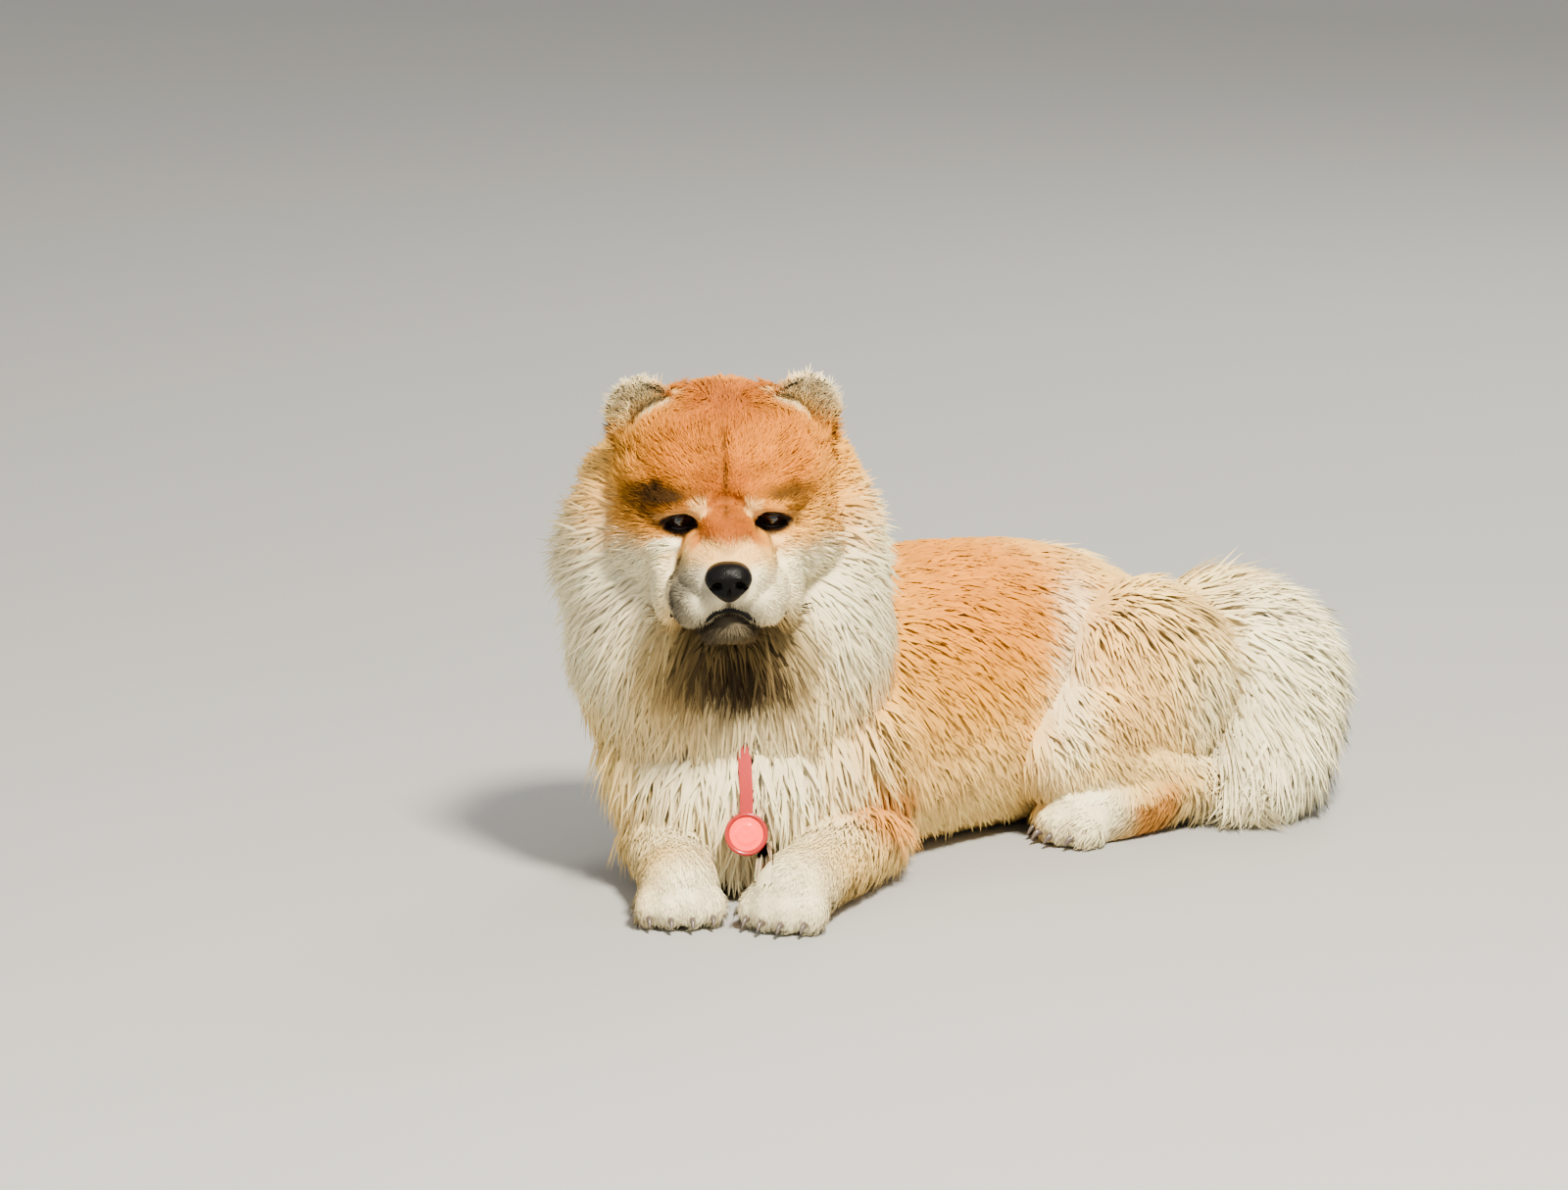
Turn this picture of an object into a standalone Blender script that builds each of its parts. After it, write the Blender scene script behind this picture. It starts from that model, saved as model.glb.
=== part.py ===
"""A chow chow lying on its belly with its head up, life size, in metres, +Z up.

The head and the forelegs face -Y. The trunk runs back from them and curves to the dog's left, which is +X.
Every node is a closed solid that rests on the floor at z = 0 or meets the node that it grows from across GAP.
Flesh is made of lofts and blended ovals. The long coat is made of flat tapered locks, fused with their node.
"""
import math
import random
from collections import namedtuple

import bmesh
import bpy
import numpy as np
from mathutils import Euler, Vector
from mathutils.bvhtree import BVHTree

GAP = 0.0003               # air between two nodes that meet
CORE_CLEARANCE = 0.0004    # the same, where a core is cut by its neighbour's core
COAT_CLEARANCE = 0.0008    # the same, where a neighbour's core cuts a coat of locks
LOCK_CLEARANCE = 0.0012    # how much wider a lock is made before it cuts a neighbour's locks
SEED = 7
DOWN = Vector((0.0, 0.0, -1.0))
FAR = 0.3                  # further out than any skin

# The head's own frame has its origin at the middle of the skull, -y forward and +z up.
HEAD_CENTRE = Vector((-0.016, -0.070, 0.385))
HEAD_TURN = Euler((math.radians(6.0), math.radians(-1.2), math.radians(1.3)))
HEAD_OVALS = (
    # centre, size, squareness; each with x above 0 is made on both sides
    ((0.000, 0.006, 0.010), (0.080, 0.088, 0.072), 2.4),       # skull
    ((0.026, -0.044, 0.020), (0.045, 0.046, 0.054), 2.2),      # halves of the forehead
    ((0.054, -0.030, -0.034), (0.038, 0.058, 0.056), 2.0),     # cheeks
    ((0.040, -0.083, 0.004), (0.028, 0.018, 0.014), 2.0),      # brows
    ((0.047, -0.076, -0.043), (0.024, 0.020, 0.013), 2.0),     # pads under the eyes
    ((0.000, -0.108, -0.052), (0.044, 0.058, 0.038), 2.8),     # muzzle
    ((0.027, -0.120, -0.072), (0.025, 0.042, 0.028), 2.2),     # upper lips
    ((0.000, -0.098, -0.022), (0.026, 0.060, 0.022), 2.2),     # bridge
    ((0.000, -0.108, -0.100), (0.033, 0.045, 0.018), 2.3),     # chin
    ((0.032, -0.050, -0.080), (0.036, 0.052, 0.036), 2.0),     # jaw
)
HEAD_VOXEL = 0.0035
HEAD_SMOOTHING = 7
HEAD_TRIANGLES = 1150
LID_RADIUS = 0.0158             # of the lids' dome round the eyeball

EYE = Vector((0.041, -0.0675, -0.018))
EYE_RADIUS = 0.0125
EYE_SLIT = (0.0135, 0.0060)     # half width and half height of the gap between the lids
EYE_SLIT_POINTS = 14
EYE_SLIT_RUN = (-0.002, 0.030)  # from just behind the eyeball's middle to well in front of the lids
EYE_SLANT = math.radians(10.0)  # the inner corner is the lower one
NOSE = Vector((0.0, -0.1650, -0.0450))
NOSE_SIZE = (0.0215, 0.0150, 0.0175)
NOSTRIL = Vector((0.0105, -0.1780, -0.0465))
NOSTRIL_SIZE = (0.0042, 0.0055, 0.0034)
NOSTRIL_TILT = 25               # degrees, the outer end the lower one
MOUTH_LINE = (
    # from the left corner round the front, in the head's frame
    (0.055, -0.078, -0.098), (0.052, -0.108, -0.096), (0.044, -0.138, -0.092), (0.024, -0.160, -0.082),
    (0.000, -0.166, -0.073), (-0.024, -0.160, -0.082), (-0.044, -0.138, -0.092), (-0.052, -0.108, -0.096),
    (-0.055, -0.078, -0.098),
)
MOUTH_DEPTH = 0.0080
MOUTH_HALF_GAP = 0.0014
FURROW = ((0.0, -0.084, 0.044), (0.0, -0.104, 0.000))
FURROW_RADIUS = 0.0024
PHILTRUM = ((0.0, -0.168, -0.058), (0.0, -0.168, -0.074))
PHILTRUM_RADIUS = 0.0017

EAR_ROOT = Vector((0.0670, -0.0100, 0.0400))
EAR_TURN = (10.0, 10.0, 14.0)   # degrees: forward, outward, and round to the side
EAR_HEIGHT = 0.056
EAR_HALF_WIDTH = 0.034
EAR_CUP = 0.017
EAR_THICKNESS = 0.0080
EAR_SINK = 0.014
EAR_LEAN = 0.010                # how far its tip leans forward
EAR_GRID = (10, 8)              # rows up and columns across
EAR_VOXEL = 0.0022
EAR_SMOOTHING = 3
EAR_TRIANGLES = 340

# Rows of a loft: centre x, y, z, half width across the path and half height.
TRUNK = (
    (-0.004, -0.086, 0.126, 0.040, 0.045),
    (0.000, -0.068, 0.126, 0.080, 0.088),
    (0.010, -0.015, 0.126, 0.108, 0.116),
    (0.040, 0.060, 0.126, 0.120, 0.122),
    (0.100, 0.140, 0.127, 0.124, 0.127),
    (0.190, 0.212, 0.128, 0.114, 0.130),
    (0.270, 0.258, 0.124, 0.098, 0.128),
    (0.334, 0.284, 0.112, 0.082, 0.108),
    (0.372, 0.296, 0.104, 0.050, 0.066),
)
NECK = (
    (0.006, 0.020, 0.120, 0.080, 0.078),
    (0.000, 0.004, 0.180, 0.110, 0.098),
    (-0.010, -0.010, 0.245, 0.120, 0.106),
    (-0.016, -0.018, 0.305, 0.119, 0.100),
    (-0.017, -0.018, 0.360, 0.114, 0.090),
    (-0.017, -0.012, 0.405, 0.098, 0.074),
    (-0.017, -0.008, 0.440, 0.060, 0.046),
)
TAIL = (
    (0.336, 0.284, 0.144, 0.028, 0.028),
    (0.388, 0.302, 0.160, 0.034, 0.034),
    (0.440, 0.304, 0.154, 0.036, 0.036),
    (0.478, 0.288, 0.126, 0.036, 0.036),
    (0.491, 0.262, 0.088, 0.034, 0.034),
    (0.482, 0.236, 0.054, 0.030, 0.030),
    (0.462, 0.212, 0.038, 0.018, 0.020),
)

# The pelvis frame: its centre, its heading from the shoulders, and lateral to the dog's left.
PELVIS = Vector((0.300, 0.275, 0.0))
PELVIS_BACK = Vector((0.87, 0.50, 0.0)).normalized()
PELVIS_LEFT = Vector((0.50, -0.87, 0.0)).normalized()

FORELEGS = {
    "left": dict(shoulder=(0.092, -0.030, 0.140), elbow=(0.116, 0.014, 0.052), wrist=(0.068, -0.150, 0.037),
                 paw=(0.043, -0.204, 0.032)),
    "right": dict(shoulder=(-0.070, -0.030, 0.140), elbow=(-0.070, 0.010, 0.050), wrist=(-0.068, -0.136, 0.037),
                  paw=(-0.058, -0.188, 0.032)),
}
UPPER_ARM_RADIUS = 0.046
ELBOW_RADIUS = 0.040
WRIST_RADIUS = 0.036
PAW_RADIUS = 0.037
FORELEG_VOXEL = 0.0032
FORELEG_TRIANGLES = 400
LEG_SMOOTHING = 4
TOE_SIZE = (0.0130, 0.0230, 0.0200)
TOE_SPREAD = 0.0190
TOE_REACH = 0.022               # of the middle toes, ahead of the ball of the foot
OUTER_TOE_SETBACK = 0.006
TOE_FAN = 7.0                   # degrees between one toe and the next
CLAW_LENGTH = 0.013
CLAW_DROP = 0.0075
CLAW_RADIUS = 0.0036

# Hind leg points in the pelvis frame: back, out to the side, up.
THIGH_CENTRE = (0.012, 0.088, 0.124)
THIGH_SIZE = (0.086, 0.062, 0.112)
HIP = (-0.006, 0.088, 0.124)
KNEE = (-0.066, 0.108, 0.080)
HOCK = (0.052, 0.126, 0.050)
HEEL = (0.052, 0.127, 0.034)
HIND_BALL = (-0.046, 0.134, 0.027)
HIND_PAW = (-0.064, 0.136, 0.027)
HIP_RADIUS = 0.060
KNEE_RADIUS = 0.048
HOCK_RADIUS = 0.028
HIND_BALL_RADIUS = 0.027
HIND_PAW_RADIUS = 0.033
THIGH_TILT = 18                 # degrees from upright, outward
HINDLEG_VOXEL = 0.0034
HINDLEG_TRIANGLES = 460

TAG = Vector((0.004, -0.134, 0.069))
TAG_FACING = Vector((0.0, -0.985, 0.17))
TAG_RADIUS = 0.0195
TAG_DEPTH = 0.011
TAG_BEVEL = 0.0015
LENS_RADIUS = 0.0155
LENS_SEAT = 0.004               # how deep the seat in the case is
LENS_DEPTH = 0.0022
LENS_BEVEL = 0.0006
STRAP_WIDTH = 0.012
STRAP_THICKNESS = 0.0028
STRAP_PATH = (
    (0.004, -0.1325, 0.086), (0.004, -0.1300, 0.104), (0.003, -0.1240, 0.126), (0.001, -0.1130, 0.150),
    (0.000, -0.0980, 0.172),
)

# Coats of locks. The spans are shares along a loft and turns round it, where a quarter is its top. Then come
# how far apart the rows and the locks in a row are, a lock's length and width, its lift in degrees and its droop.
Coat = namedtuple("Coat", "along around row_step lock_step length width lift droop")
TRUNK_COAT = Coat((0.17, 0.97), (-0.12, 0.62), 0.062, 0.062, 0.104, 0.066, 28, 0.06)
CHEST_COAT = Coat((0.02, 0.12), (-0.02, 0.52), 0.035, 0.050, 0.080, 0.048, 30, 0.20)
RUFF_COAT = Coat((0.15, 0.97), (0.0, 1.0), 0.052, 0.066, 0.104, 0.068, 36, 0.20)
PLUME_COAT = Coat((0.14, 0.98), (0.0, 1.0), 0.050, 0.056, 0.094, 0.052, 40, 0.08)
RUFF_TOP = (0.36, 0.86)         # shares along the neck between which the ruff turns out to the sides
RUFF_TOP_SHORTER = 0.038
THIGH_ROWS = ((-22, 3), (8, 4), (38, 4), (66, 2))      # degrees up from level, and how many locks
THIGH_SWEEP = (-70, 105)                               # degrees from straight out, forward to back
THIGH_LOCK = dict(length=0.076, width=0.062, lift=26, droop=0.08)
BREECHES_LONGER = 0.020
FORELEG_ROWS = ((0.02, (28, 70)), (0.28, (8, 52)), (0.54, (28, 70)))    # share from the elbow, degrees up
FORELEG_LOCK = dict(length=0.052, width=0.036, lift=20, droop=0.05)
ROOT_CLEARANCE = 0.003
LOWEST_ROOT = dict(trunk=0.040, chest=0.070, tail=0.015, thigh=0.045)

# A lock has three sides and a ring at each of these shares of its length, then its tip.
LOCK_STATIONS = (0.0, 0.28, 0.62)
LOCK_WIDTHS = (0.84, 1.00, 0.76)          # its width there, as a share of the widest
LOCK_DEPTHS = (0.26, 0.22, 0.15)          # its thickness there, as a share of the widest
LOCK_SINK = 0.010                         # how far its root is sunk in
LOCK_PATH_CLEARANCE = 0.007
FLOOR_CLEARANCE = 0.010                   # of the middle of a lock
COAT_ABOVE_FLOOR = 0.001
SHARPEST_BEND = math.radians(55)
SHORTEST_STEP = 0.35                      # of the longest
FLATTEST_RUN = 0.55                       # sine of the angle between a lock and its surface's normal
DEEPEST_PUSH = 0.040                      # a path point further inside a neighbour is left to be cut
SETTLING = 0.55                           # how much of its lift a lock has lost at its tip
VARIATION = 0.12                          # of a lock's length, width and place

COLOURS = {
    "coat": (0.80, 0.52, 0.27, 1.0),
    "cream": (0.88, 0.80, 0.64, 1.0),
    "face": (0.66, 0.34, 0.13, 1.0),
    "eye": (0.06, 0.03, 0.02, 1.0),
    "nose": (0.02, 0.02, 0.02, 1.0),
    "lens": (0.90, 0.09, 0.08, 1.0),
    "strap": (0.45, 0.05, 0.05, 1.0),
}


# Each node's colour and roughness, where it isn't the coat's.
FINISHES = {
    "head": ("face", 0.9), "ear_left": ("face", 0.9), "ear_right": ("face", 0.9), "nose": ("nose", 0.4),
    "eye_left": ("eye", 0.1), "eye_right": ("eye", 0.1), "neck": ("cream", 0.9), "tail": ("cream", 0.9),
    "tag_lens": ("lens", 0.25), "tag_case": ("strap", 0.4), "tag_strap": ("strap", 0.7),
}

# A core is cut back from the cores that it gives way to, in this order.
GIVES_WAY_TO = {
    "nose": ("head",),
    "ear_left": ("head",),
    "ear_right": ("head",),
    "neck": ("head", "ear_left", "ear_right", "nose"),
    "torso": ("neck", "head"),
    "tag_case": ("torso", "neck"),
    "tag_strap": ("tag_case", "torso", "neck"),
    "foreleg_left": ("torso", "neck", "tag_case", "tag_strap"),
    "foreleg_right": ("torso", "neck", "foreleg_left", "tag_case", "tag_strap"),
    "hindleg_left": ("torso", "foreleg_left"),
    "hindleg_right": ("torso", "hindleg_left"),
    "tail": ("torso", "hindleg_left", "hindleg_right"),
}
FORELEGS_AND_TAG = ("foreleg_left", "foreleg_right", "tag_case", "tag_strap")
COAT_CLEARS_CORES = {
    "neck": ("head", "ear_left", "ear_right", "torso") + FORELEGS_AND_TAG,
    "torso": ("neck", "head", "hindleg_left", "hindleg_right", "tail") + FORELEGS_AND_TAG,
    "hindleg_left": ("torso", "tail", "foreleg_left"),
    "hindleg_right": ("torso", "tail", "hindleg_left"),
    "tail": ("torso", "hindleg_left", "hindleg_right"),
    "foreleg_left": ("torso", "neck", "hindleg_left", "tag_case"),
    "foreleg_right": ("torso", "neck", "foreleg_left", "tag_case"),
}
COAT_CLEARS_COATS = {
    "neck": (),
    "torso": ("neck",),
    "hindleg_left": ("torso",),
    "hindleg_right": ("torso", "hindleg_left"),
    "tail": ("torso", "hindleg_left", "hindleg_right"),
    "foreleg_left": ("torso", "neck"),
    "foreleg_right": ("torso", "neck"),
}


# Meshes and objects

def material(name, roughness):
    """A Principled material of the named colour."""
    made = bpy.data.materials.get(name) or bpy.data.materials.new(name)
    made.use_nodes = True
    shader = made.node_tree.nodes["Principled BSDF"]
    shader.inputs["Base Color"].default_value = COLOURS[name]
    shader.inputs["Roughness"].default_value = roughness
    return made


def new_object(name, points, faces):
    """An object of the given closed mesh, in triangles that face out."""
    mesh = bpy.data.meshes.new(name)
    mesh.from_pydata([tuple(p) for p in points], [], [tuple(f) for f in faces])
    shape = bmesh.new()
    shape.from_mesh(mesh)
    bmesh.ops.triangulate(shape, faces=shape.faces)
    bmesh.ops.recalc_face_normals(shape, faces=shape.faces)
    shape.to_mesh(mesh)
    shape.free()
    made = bpy.data.objects.new(name, mesh)
    bpy.context.scene.collection.objects.link(made)
    return made


def drop(*objects):
    for gone in objects:
        mesh = gone.data
        bpy.data.objects.remove(gone)
        bpy.data.meshes.remove(mesh)


def bake_modifiers(thing):
    """Replaces the object's mesh by what its modifiers make of it."""
    graph = bpy.context.evaluated_depsgraph_get()
    mesh = bpy.data.meshes.new_from_object(thing.evaluated_get(graph))
    old = thing.data
    thing.modifiers.clear()
    thing.data = mesh
    mesh.name = thing.name
    bpy.data.meshes.remove(old)
    return thing


def combine(thing, others, operation, solver):
    """One Boolean of thing with a collection of closed meshes, applied. The others stay.

    MANIFOLD is for grown shells and for locks, which cross themselves and one another: EXACT leaves those open.
    """
    helpers = bpy.data.collections.new("helpers")
    bpy.context.scene.collection.children.link(helpers)
    for other in others:
        helpers.objects.link(other)
    step = thing.modifiers.new("combine", "BOOLEAN")
    step.operation = operation
    step.operand_type = "COLLECTION"
    step.collection = helpers
    step.solver = solver
    bake_modifiers(thing)
    bpy.data.collections.remove(helpers)
    return thing


def fuse(thing, others, solver="MANIFOLD"):
    combine(thing, others, "UNION", solver)
    drop(*others)
    return thing


def cut(thing, others, solver="MANIFOLD"):
    return combine(thing, others, "DIFFERENCE", solver)


def copy_of(thing, name):
    made = bpy.data.objects.new(name, thing.data.copy())
    bpy.context.scene.collection.objects.link(made)
    return made


def grown(thing, distance):
    """A copy of a smooth core whose surface lies the distance further out."""
    made = copy_of(thing, thing.name + "_grown")
    mesh = made.data
    count = len(mesh.vertices)
    points = np.zeros(count * 3)
    normals = np.zeros(count * 3)
    mesh.vertices.foreach_get("co", points)
    mesh.vertex_normals.foreach_get("vector", normals)
    mesh.vertices.foreach_set("co", points + normals * distance)
    mesh.update()
    return made


def keep_largest(thing):
    """Leaves only the largest closed surface."""
    mesh = bmesh.new()
    mesh.from_mesh(thing.data)
    bmesh.ops.triangulate(mesh, faces=mesh.faces)
    unseen = set(mesh.faces)
    shells = []
    while unseen:
        shell = [unseen.pop()]
        for face in shell:
            for edge in face.edges:
                for near in edge.link_faces:
                    if near in unseen:
                        unseen.remove(near)
                        shell.append(near)
        volume = abs(sum(f.verts[0].co.dot(f.verts[1].co.cross(f.verts[2].co)) for f in shell))
        shells.append((volume, shell))
    shells.sort(key=lambda pair: pair[0])
    scraps = [face for _, shell in shells[:-1] for face in shell]
    bmesh.ops.delete(mesh, geom=scraps, context="FACES")
    mesh.to_mesh(thing.data)
    mesh.free()
    return thing


# Lofts and ovals

def spline(rows, count):
    """Rows read evenly from a smooth curve through the given rows."""
    rows = np.array(rows, float)
    steps = np.linalg.norm(np.diff(rows[:, :3], axis=0), axis=1)
    places = np.concatenate([[0.0], np.cumsum(steps)])
    slopes = np.gradient(rows, places, axis=0)
    wanted = np.linspace(0.0, places[-1], count)
    index = np.clip(np.searchsorted(places, wanted, side="right") - 1, 0, len(rows) - 2)
    span = (places[index + 1] - places[index])[:, None]
    t = (wanted[:, None] - places[index][:, None]) / span
    h00 = 2 * t**3 - 3 * t**2 + 1
    h10 = t**3 - 2 * t**2 + t
    h01 = -2 * t**3 + 3 * t**2
    h11 = t**3 - t**2
    before = h00 * rows[index] + h10 * span * slopes[index]
    return before + h01 * rows[index + 1] + h11 * span * slopes[index + 1]


class Loft:
    """A closed tube of oval rings along a curve.

    Round a ring, 0 turns is its edge towards `side`, or to the right of its way. A quarter turn on is its top.
    """

    def __init__(self, rows, rings, sides, side=None, squareness=2.3):
        path = spline(rows, rings)
        self.centres = path[:, :3]
        along = np.gradient(self.centres, axis=0)
        along /= np.linalg.norm(along, axis=1)[:, None]
        if side is None:
            across = np.cross(along, (0.0, 0.0, 1.0))
        else:
            across = np.array(side, float) - along * (along @ np.array(side, float))[:, None]
        across /= np.linalg.norm(across, axis=1)[:, None]
        rise = np.cross(across, along)
        angle = np.linspace(0.0, 2 * np.pi, sides, endpoint=False)
        power = 2.0 / squareness
        c = np.sign(np.cos(angle)) * np.abs(np.cos(angle)) ** power
        s = np.sign(np.sin(angle)) * np.abs(np.sin(angle)) ** power
        self.grid = (
            self.centres[:, None, :]
            + across[:, None, :] * (path[:, 3, None] * c)[:, :, None]
            + rise[:, None, :] * (path[:, 4, None] * s)[:, :, None]
        )
        self.along = along
        self.rings = rings
        self.sides = sides

    def mesh(self, name):
        points = [tuple(p) for p in self.grid.reshape(-1, 3)]
        faces = []
        for i in range(self.rings - 1):
            for j in range(self.sides):
                k = (j + 1) % self.sides
                a, b = i * self.sides, (i + 1) * self.sides
                faces.append((a + j, b + j, b + k, a + k))
        last = (self.rings - 1) * self.sides
        start, end = len(points), len(points) + 1
        points.append(tuple(self.centres[0]))
        points.append(tuple(self.centres[-1]))
        for j in range(self.sides):
            k = (j + 1) % self.sides
            faces.append((start, j, k))
            faces.append((end, last + k, last + j))
        return new_object(name, points, faces)

    def place(self, u, v):
        """Point, outward normal and direction along the loft at u from 0 to 1 and v in turns."""
        i = min(max(u, 0.0), 0.9999) * (self.rings - 1)
        j = (v % 1.0) * self.sides
        i0, j0 = int(i), int(j)
        fi, fj = i - i0, j - j0
        j1 = (j0 + 1) % self.sides
        j0 %= self.sides
        a, b = self.grid[i0, j0], self.grid[i0 + 1, j0]
        c, d = self.grid[i0, j1], self.grid[i0 + 1, j1]
        point = (a * (1 - fi) + b * fi) * (1 - fj) + (c * (1 - fi) + d * fi) * fj
        down = (b - a) * (1 - fj) + (d - c) * fj
        turn = (c - a) * (1 - fi) + (d - b) * fi
        normal = np.cross(down, turn)
        centre = self.centres[i0] * (1 - fi) + self.centres[i0 + 1] * fi
        if normal @ (point - centre) < 0:
            normal = -normal
        return point, normal / np.linalg.norm(normal), self.along[i0]


def oval(centre, size, turn=(0.0, 0.0, 0.0), squareness=2.0, frame=None, rows=12, columns=20):
    """An ellipsoid, or a rounder box where squareness passes 2, as an object."""
    power = 2.0 / squareness
    points = []
    rotation = Euler([math.radians(a) for a in turn])
    for i in range(1, rows):
        lat = math.pi * i / rows - math.pi / 2
        for j in range(columns):
            lon = 2 * math.pi * j / columns
            raw = (math.cos(lat) * math.cos(lon), math.cos(lat) * math.sin(lon), math.sin(lat))
            p = Vector([math.copysign(abs(r) ** power, r) * s for r, s in zip(raw, size)])
            points.append(p)
    points.append(Vector((0, 0, -size[2])))
    points.append(Vector((0, 0, size[2])))
    faces = []
    for i in range(rows - 2):
        for j in range(columns):
            k = (j + 1) % columns
            faces.append((i * columns + j, i * columns + k, (i + 1) * columns + k, (i + 1) * columns + j))
    bottom, top = len(points) - 2, len(points) - 1
    last = (rows - 2) * columns
    for j in range(columns):
        k = (j + 1) % columns
        faces.append((bottom, k, j))
        faces.append((top, last + j, last + k))
    placed = []
    for p in points:
        p = p.copy()
        p.rotate(rotation)
        p += Vector(centre)
        placed.append(frame(p) if frame else p)
    return new_object("oval", placed, faces)


def limb(a, b, radius_a, radius_b, rings=14, sides=16):
    """A tapered limb with round ends."""
    a, b = np.array(a, float), np.array(b, float)
    along = (b - a) / np.linalg.norm(b - a)
    rows = []
    for turn in (80, 55, 30):
        t = math.radians(turn)
        rows.append((*(a - along * radius_a * math.sin(t)), radius_a * math.cos(t), radius_a * math.cos(t)))
    rows.append((*a, radius_a, radius_a))
    rows.append((*((a + b) / 2), (radius_a + radius_b) / 2, (radius_a + radius_b) / 2))
    rows.append((*b, radius_b, radius_b))
    for turn in (30, 55, 80):
        t = math.radians(turn)
        rows.append((*(b + along * radius_b * math.sin(t)), radius_b * math.cos(t), radius_b * math.cos(t)))
    side = (1, 0, 0) if abs(along[2]) > 0.8 else None
    return Loft(rows, rings, sides, side=side, squareness=2.0).mesh("limb")


def blended(name, pieces, voxel, smooth, triangles):
    """One smooth closed skin over overlapping pieces, brought down to about the given number of triangles."""
    made = new_object(name, [], [])
    shape = bmesh.new()
    for piece in pieces:
        shape.from_mesh(piece.data)
    shape.to_mesh(made.data)
    shape.free()
    drop(*pieces)
    step = made.modifiers.new("skin", "REMESH")
    step.mode = "VOXEL"
    step.voxel_size = voxel
    step = made.modifiers.new("smooth", "SMOOTH")
    step.factor = 0.5
    step.iterations = smooth
    bake_modifiers(made)
    step = made.modifiers.new("thin", "DECIMATE")
    step.ratio = min(1.0, triangles / (2.0 * len(made.data.polygons)))
    return bake_modifiers(made)


def in_head(p):
    p = Vector(p)
    p.rotate(HEAD_TURN)
    return HEAD_CENTRE + p


def in_pelvis(p, side):
    return PELVIS + PELVIS_BACK * p[0] + PELVIS_LEFT * p[1] * side + Vector((0, 0, p[2]))


# Coat locks

def surface_of(thing):
    mesh = bmesh.new()
    mesh.from_mesh(thing.data)
    tree = BVHTree.FromBMesh(mesh)
    mesh.free()
    return tree


def inside(tree, point):
    """True where a straight way out of the point crosses the surface an odd number of times."""
    way = Vector((0.31, 0.17, 0.93)).normalized()
    start, crossings = point.copy(), 0
    while True:
        hit, _, _, _ = tree.ray_cast(start, way)
        if hit is None:
            return crossings % 2 == 1
        crossings += 1
        start = hit + way * 1e-5


def pushed_clear(point, trees, clearance):
    """Moves a point out of the given solids and up off the floor."""
    for tree in trees:
        near, normal, _, distance = tree.find_nearest(point)
        within = inside(tree, point)
        if within and distance < DEEPEST_PUSH:
            point = near + normal * clearance
        elif distance < clearance and not within:
            point = near + (point - near) * (clearance / max(distance, 1e-5))
    point.z = max(point.z, FLOOR_CLEARANCE)
    return point


def lock_path(root, normal, lie, length, lift, droop, trees):
    """Points from the sunk root to the tip: it leaves at `lift` from the surface and bends over to its lie."""
    normal, lie = Vector(normal), Vector(lie)
    lie = (lie - normal * lie.dot(normal)).normalized()
    point = Vector(root) - normal * LOCK_SINK
    points = [point]
    shares = LOCK_STATIONS + (1.0,)
    for i in range(1, len(shares)):
        t = (shares[i - 1] + shares[i]) / 2
        bend = lift * (1.0 - SETTLING * t)
        way = normal * math.sin(bend) + lie * math.cos(bend) + Vector((0, 0, -droop * t))
        step = length * (shares[i] - shares[i - 1]) + (LOCK_SINK if i == 1 else 0.0)
        point = point + way.normalized() * step
        if i > 1 or not trees:
            point = pushed_clear(point, trees, LOCK_PATH_CLEARANCE)
        points.append(point)
    return points


def folded(path, normal):
    """True where neighbours have pushed a path into a sharp bend, a short step or a run straight up."""
    steps = [b - a for a, b in zip(path, path[1:])]
    longest = max(step.length for step in steps)
    sharp = any(a.angle(b, math.pi) > SHARPEST_BEND for a, b in zip(steps, steps[1:]))
    upright = any(step.normalized().cross(Vector(normal)).length < FLATTEST_RUN for step in steps)
    return sharp or upright or min(step.length for step in steps) < SHORTEST_STEP * longest


def lock_mesh(points, normal, width, extra=0.0):
    """A flat tapered lock with a ridge, three sides round: its rings follow the path and close to a tip."""
    verts, faces = [], []
    for i, point in enumerate(points):
        ahead = points[min(i + 1, len(points) - 1)]
        behind = points[max(i - 1, 0)]
        along = (ahead - behind).normalized()
        side = along.cross(Vector(normal)).normalized()
        up = side.cross(along).normalized()
        if i == len(points) - 1:
            verts.append(point + along * extra * 5)
            continue
        half = width / 2 * LOCK_WIDTHS[i] + extra * 3
        deep = width * LOCK_DEPTHS[i]
        start = point - along * (extra * 3 if i == 0 else 0.0)
        verts.append(start - side * half - up * (deep * 0.35 + extra))
        verts.append(start + side * half - up * (deep * 0.35 + extra))
        verts.append(start + up * (deep * 0.65 + extra * 2))
    rings = len(points) - 1
    faces.append((0, 1, 2))
    for i in range(rings - 1):
        for j in range(3):
            k = (j + 1) % 3
            faces.append((i * 3 + j, (i + 1) * 3 + j, (i + 1) * 3 + k))
            faces.append((i * 3 + j, (i + 1) * 3 + k, i * 3 + k))
    tip, last = len(verts) - 1, (rings - 1) * 3
    for j in range(3):
        faces.append((last + j, tip, last + (j + 1) % 3))
    return new_object("lock", verts, faces)


def locks_of(wanted, extra=0.0):
    """All locks of a node as one mesh of closed bodies. wanted holds (path, normal, width)."""
    made = [lock_mesh(path, normal, width, extra) for path, normal, width in wanted if not folded(path, normal)]
    base = made.pop(0)
    base.name = "locks"
    return fuse(base, made)


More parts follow.
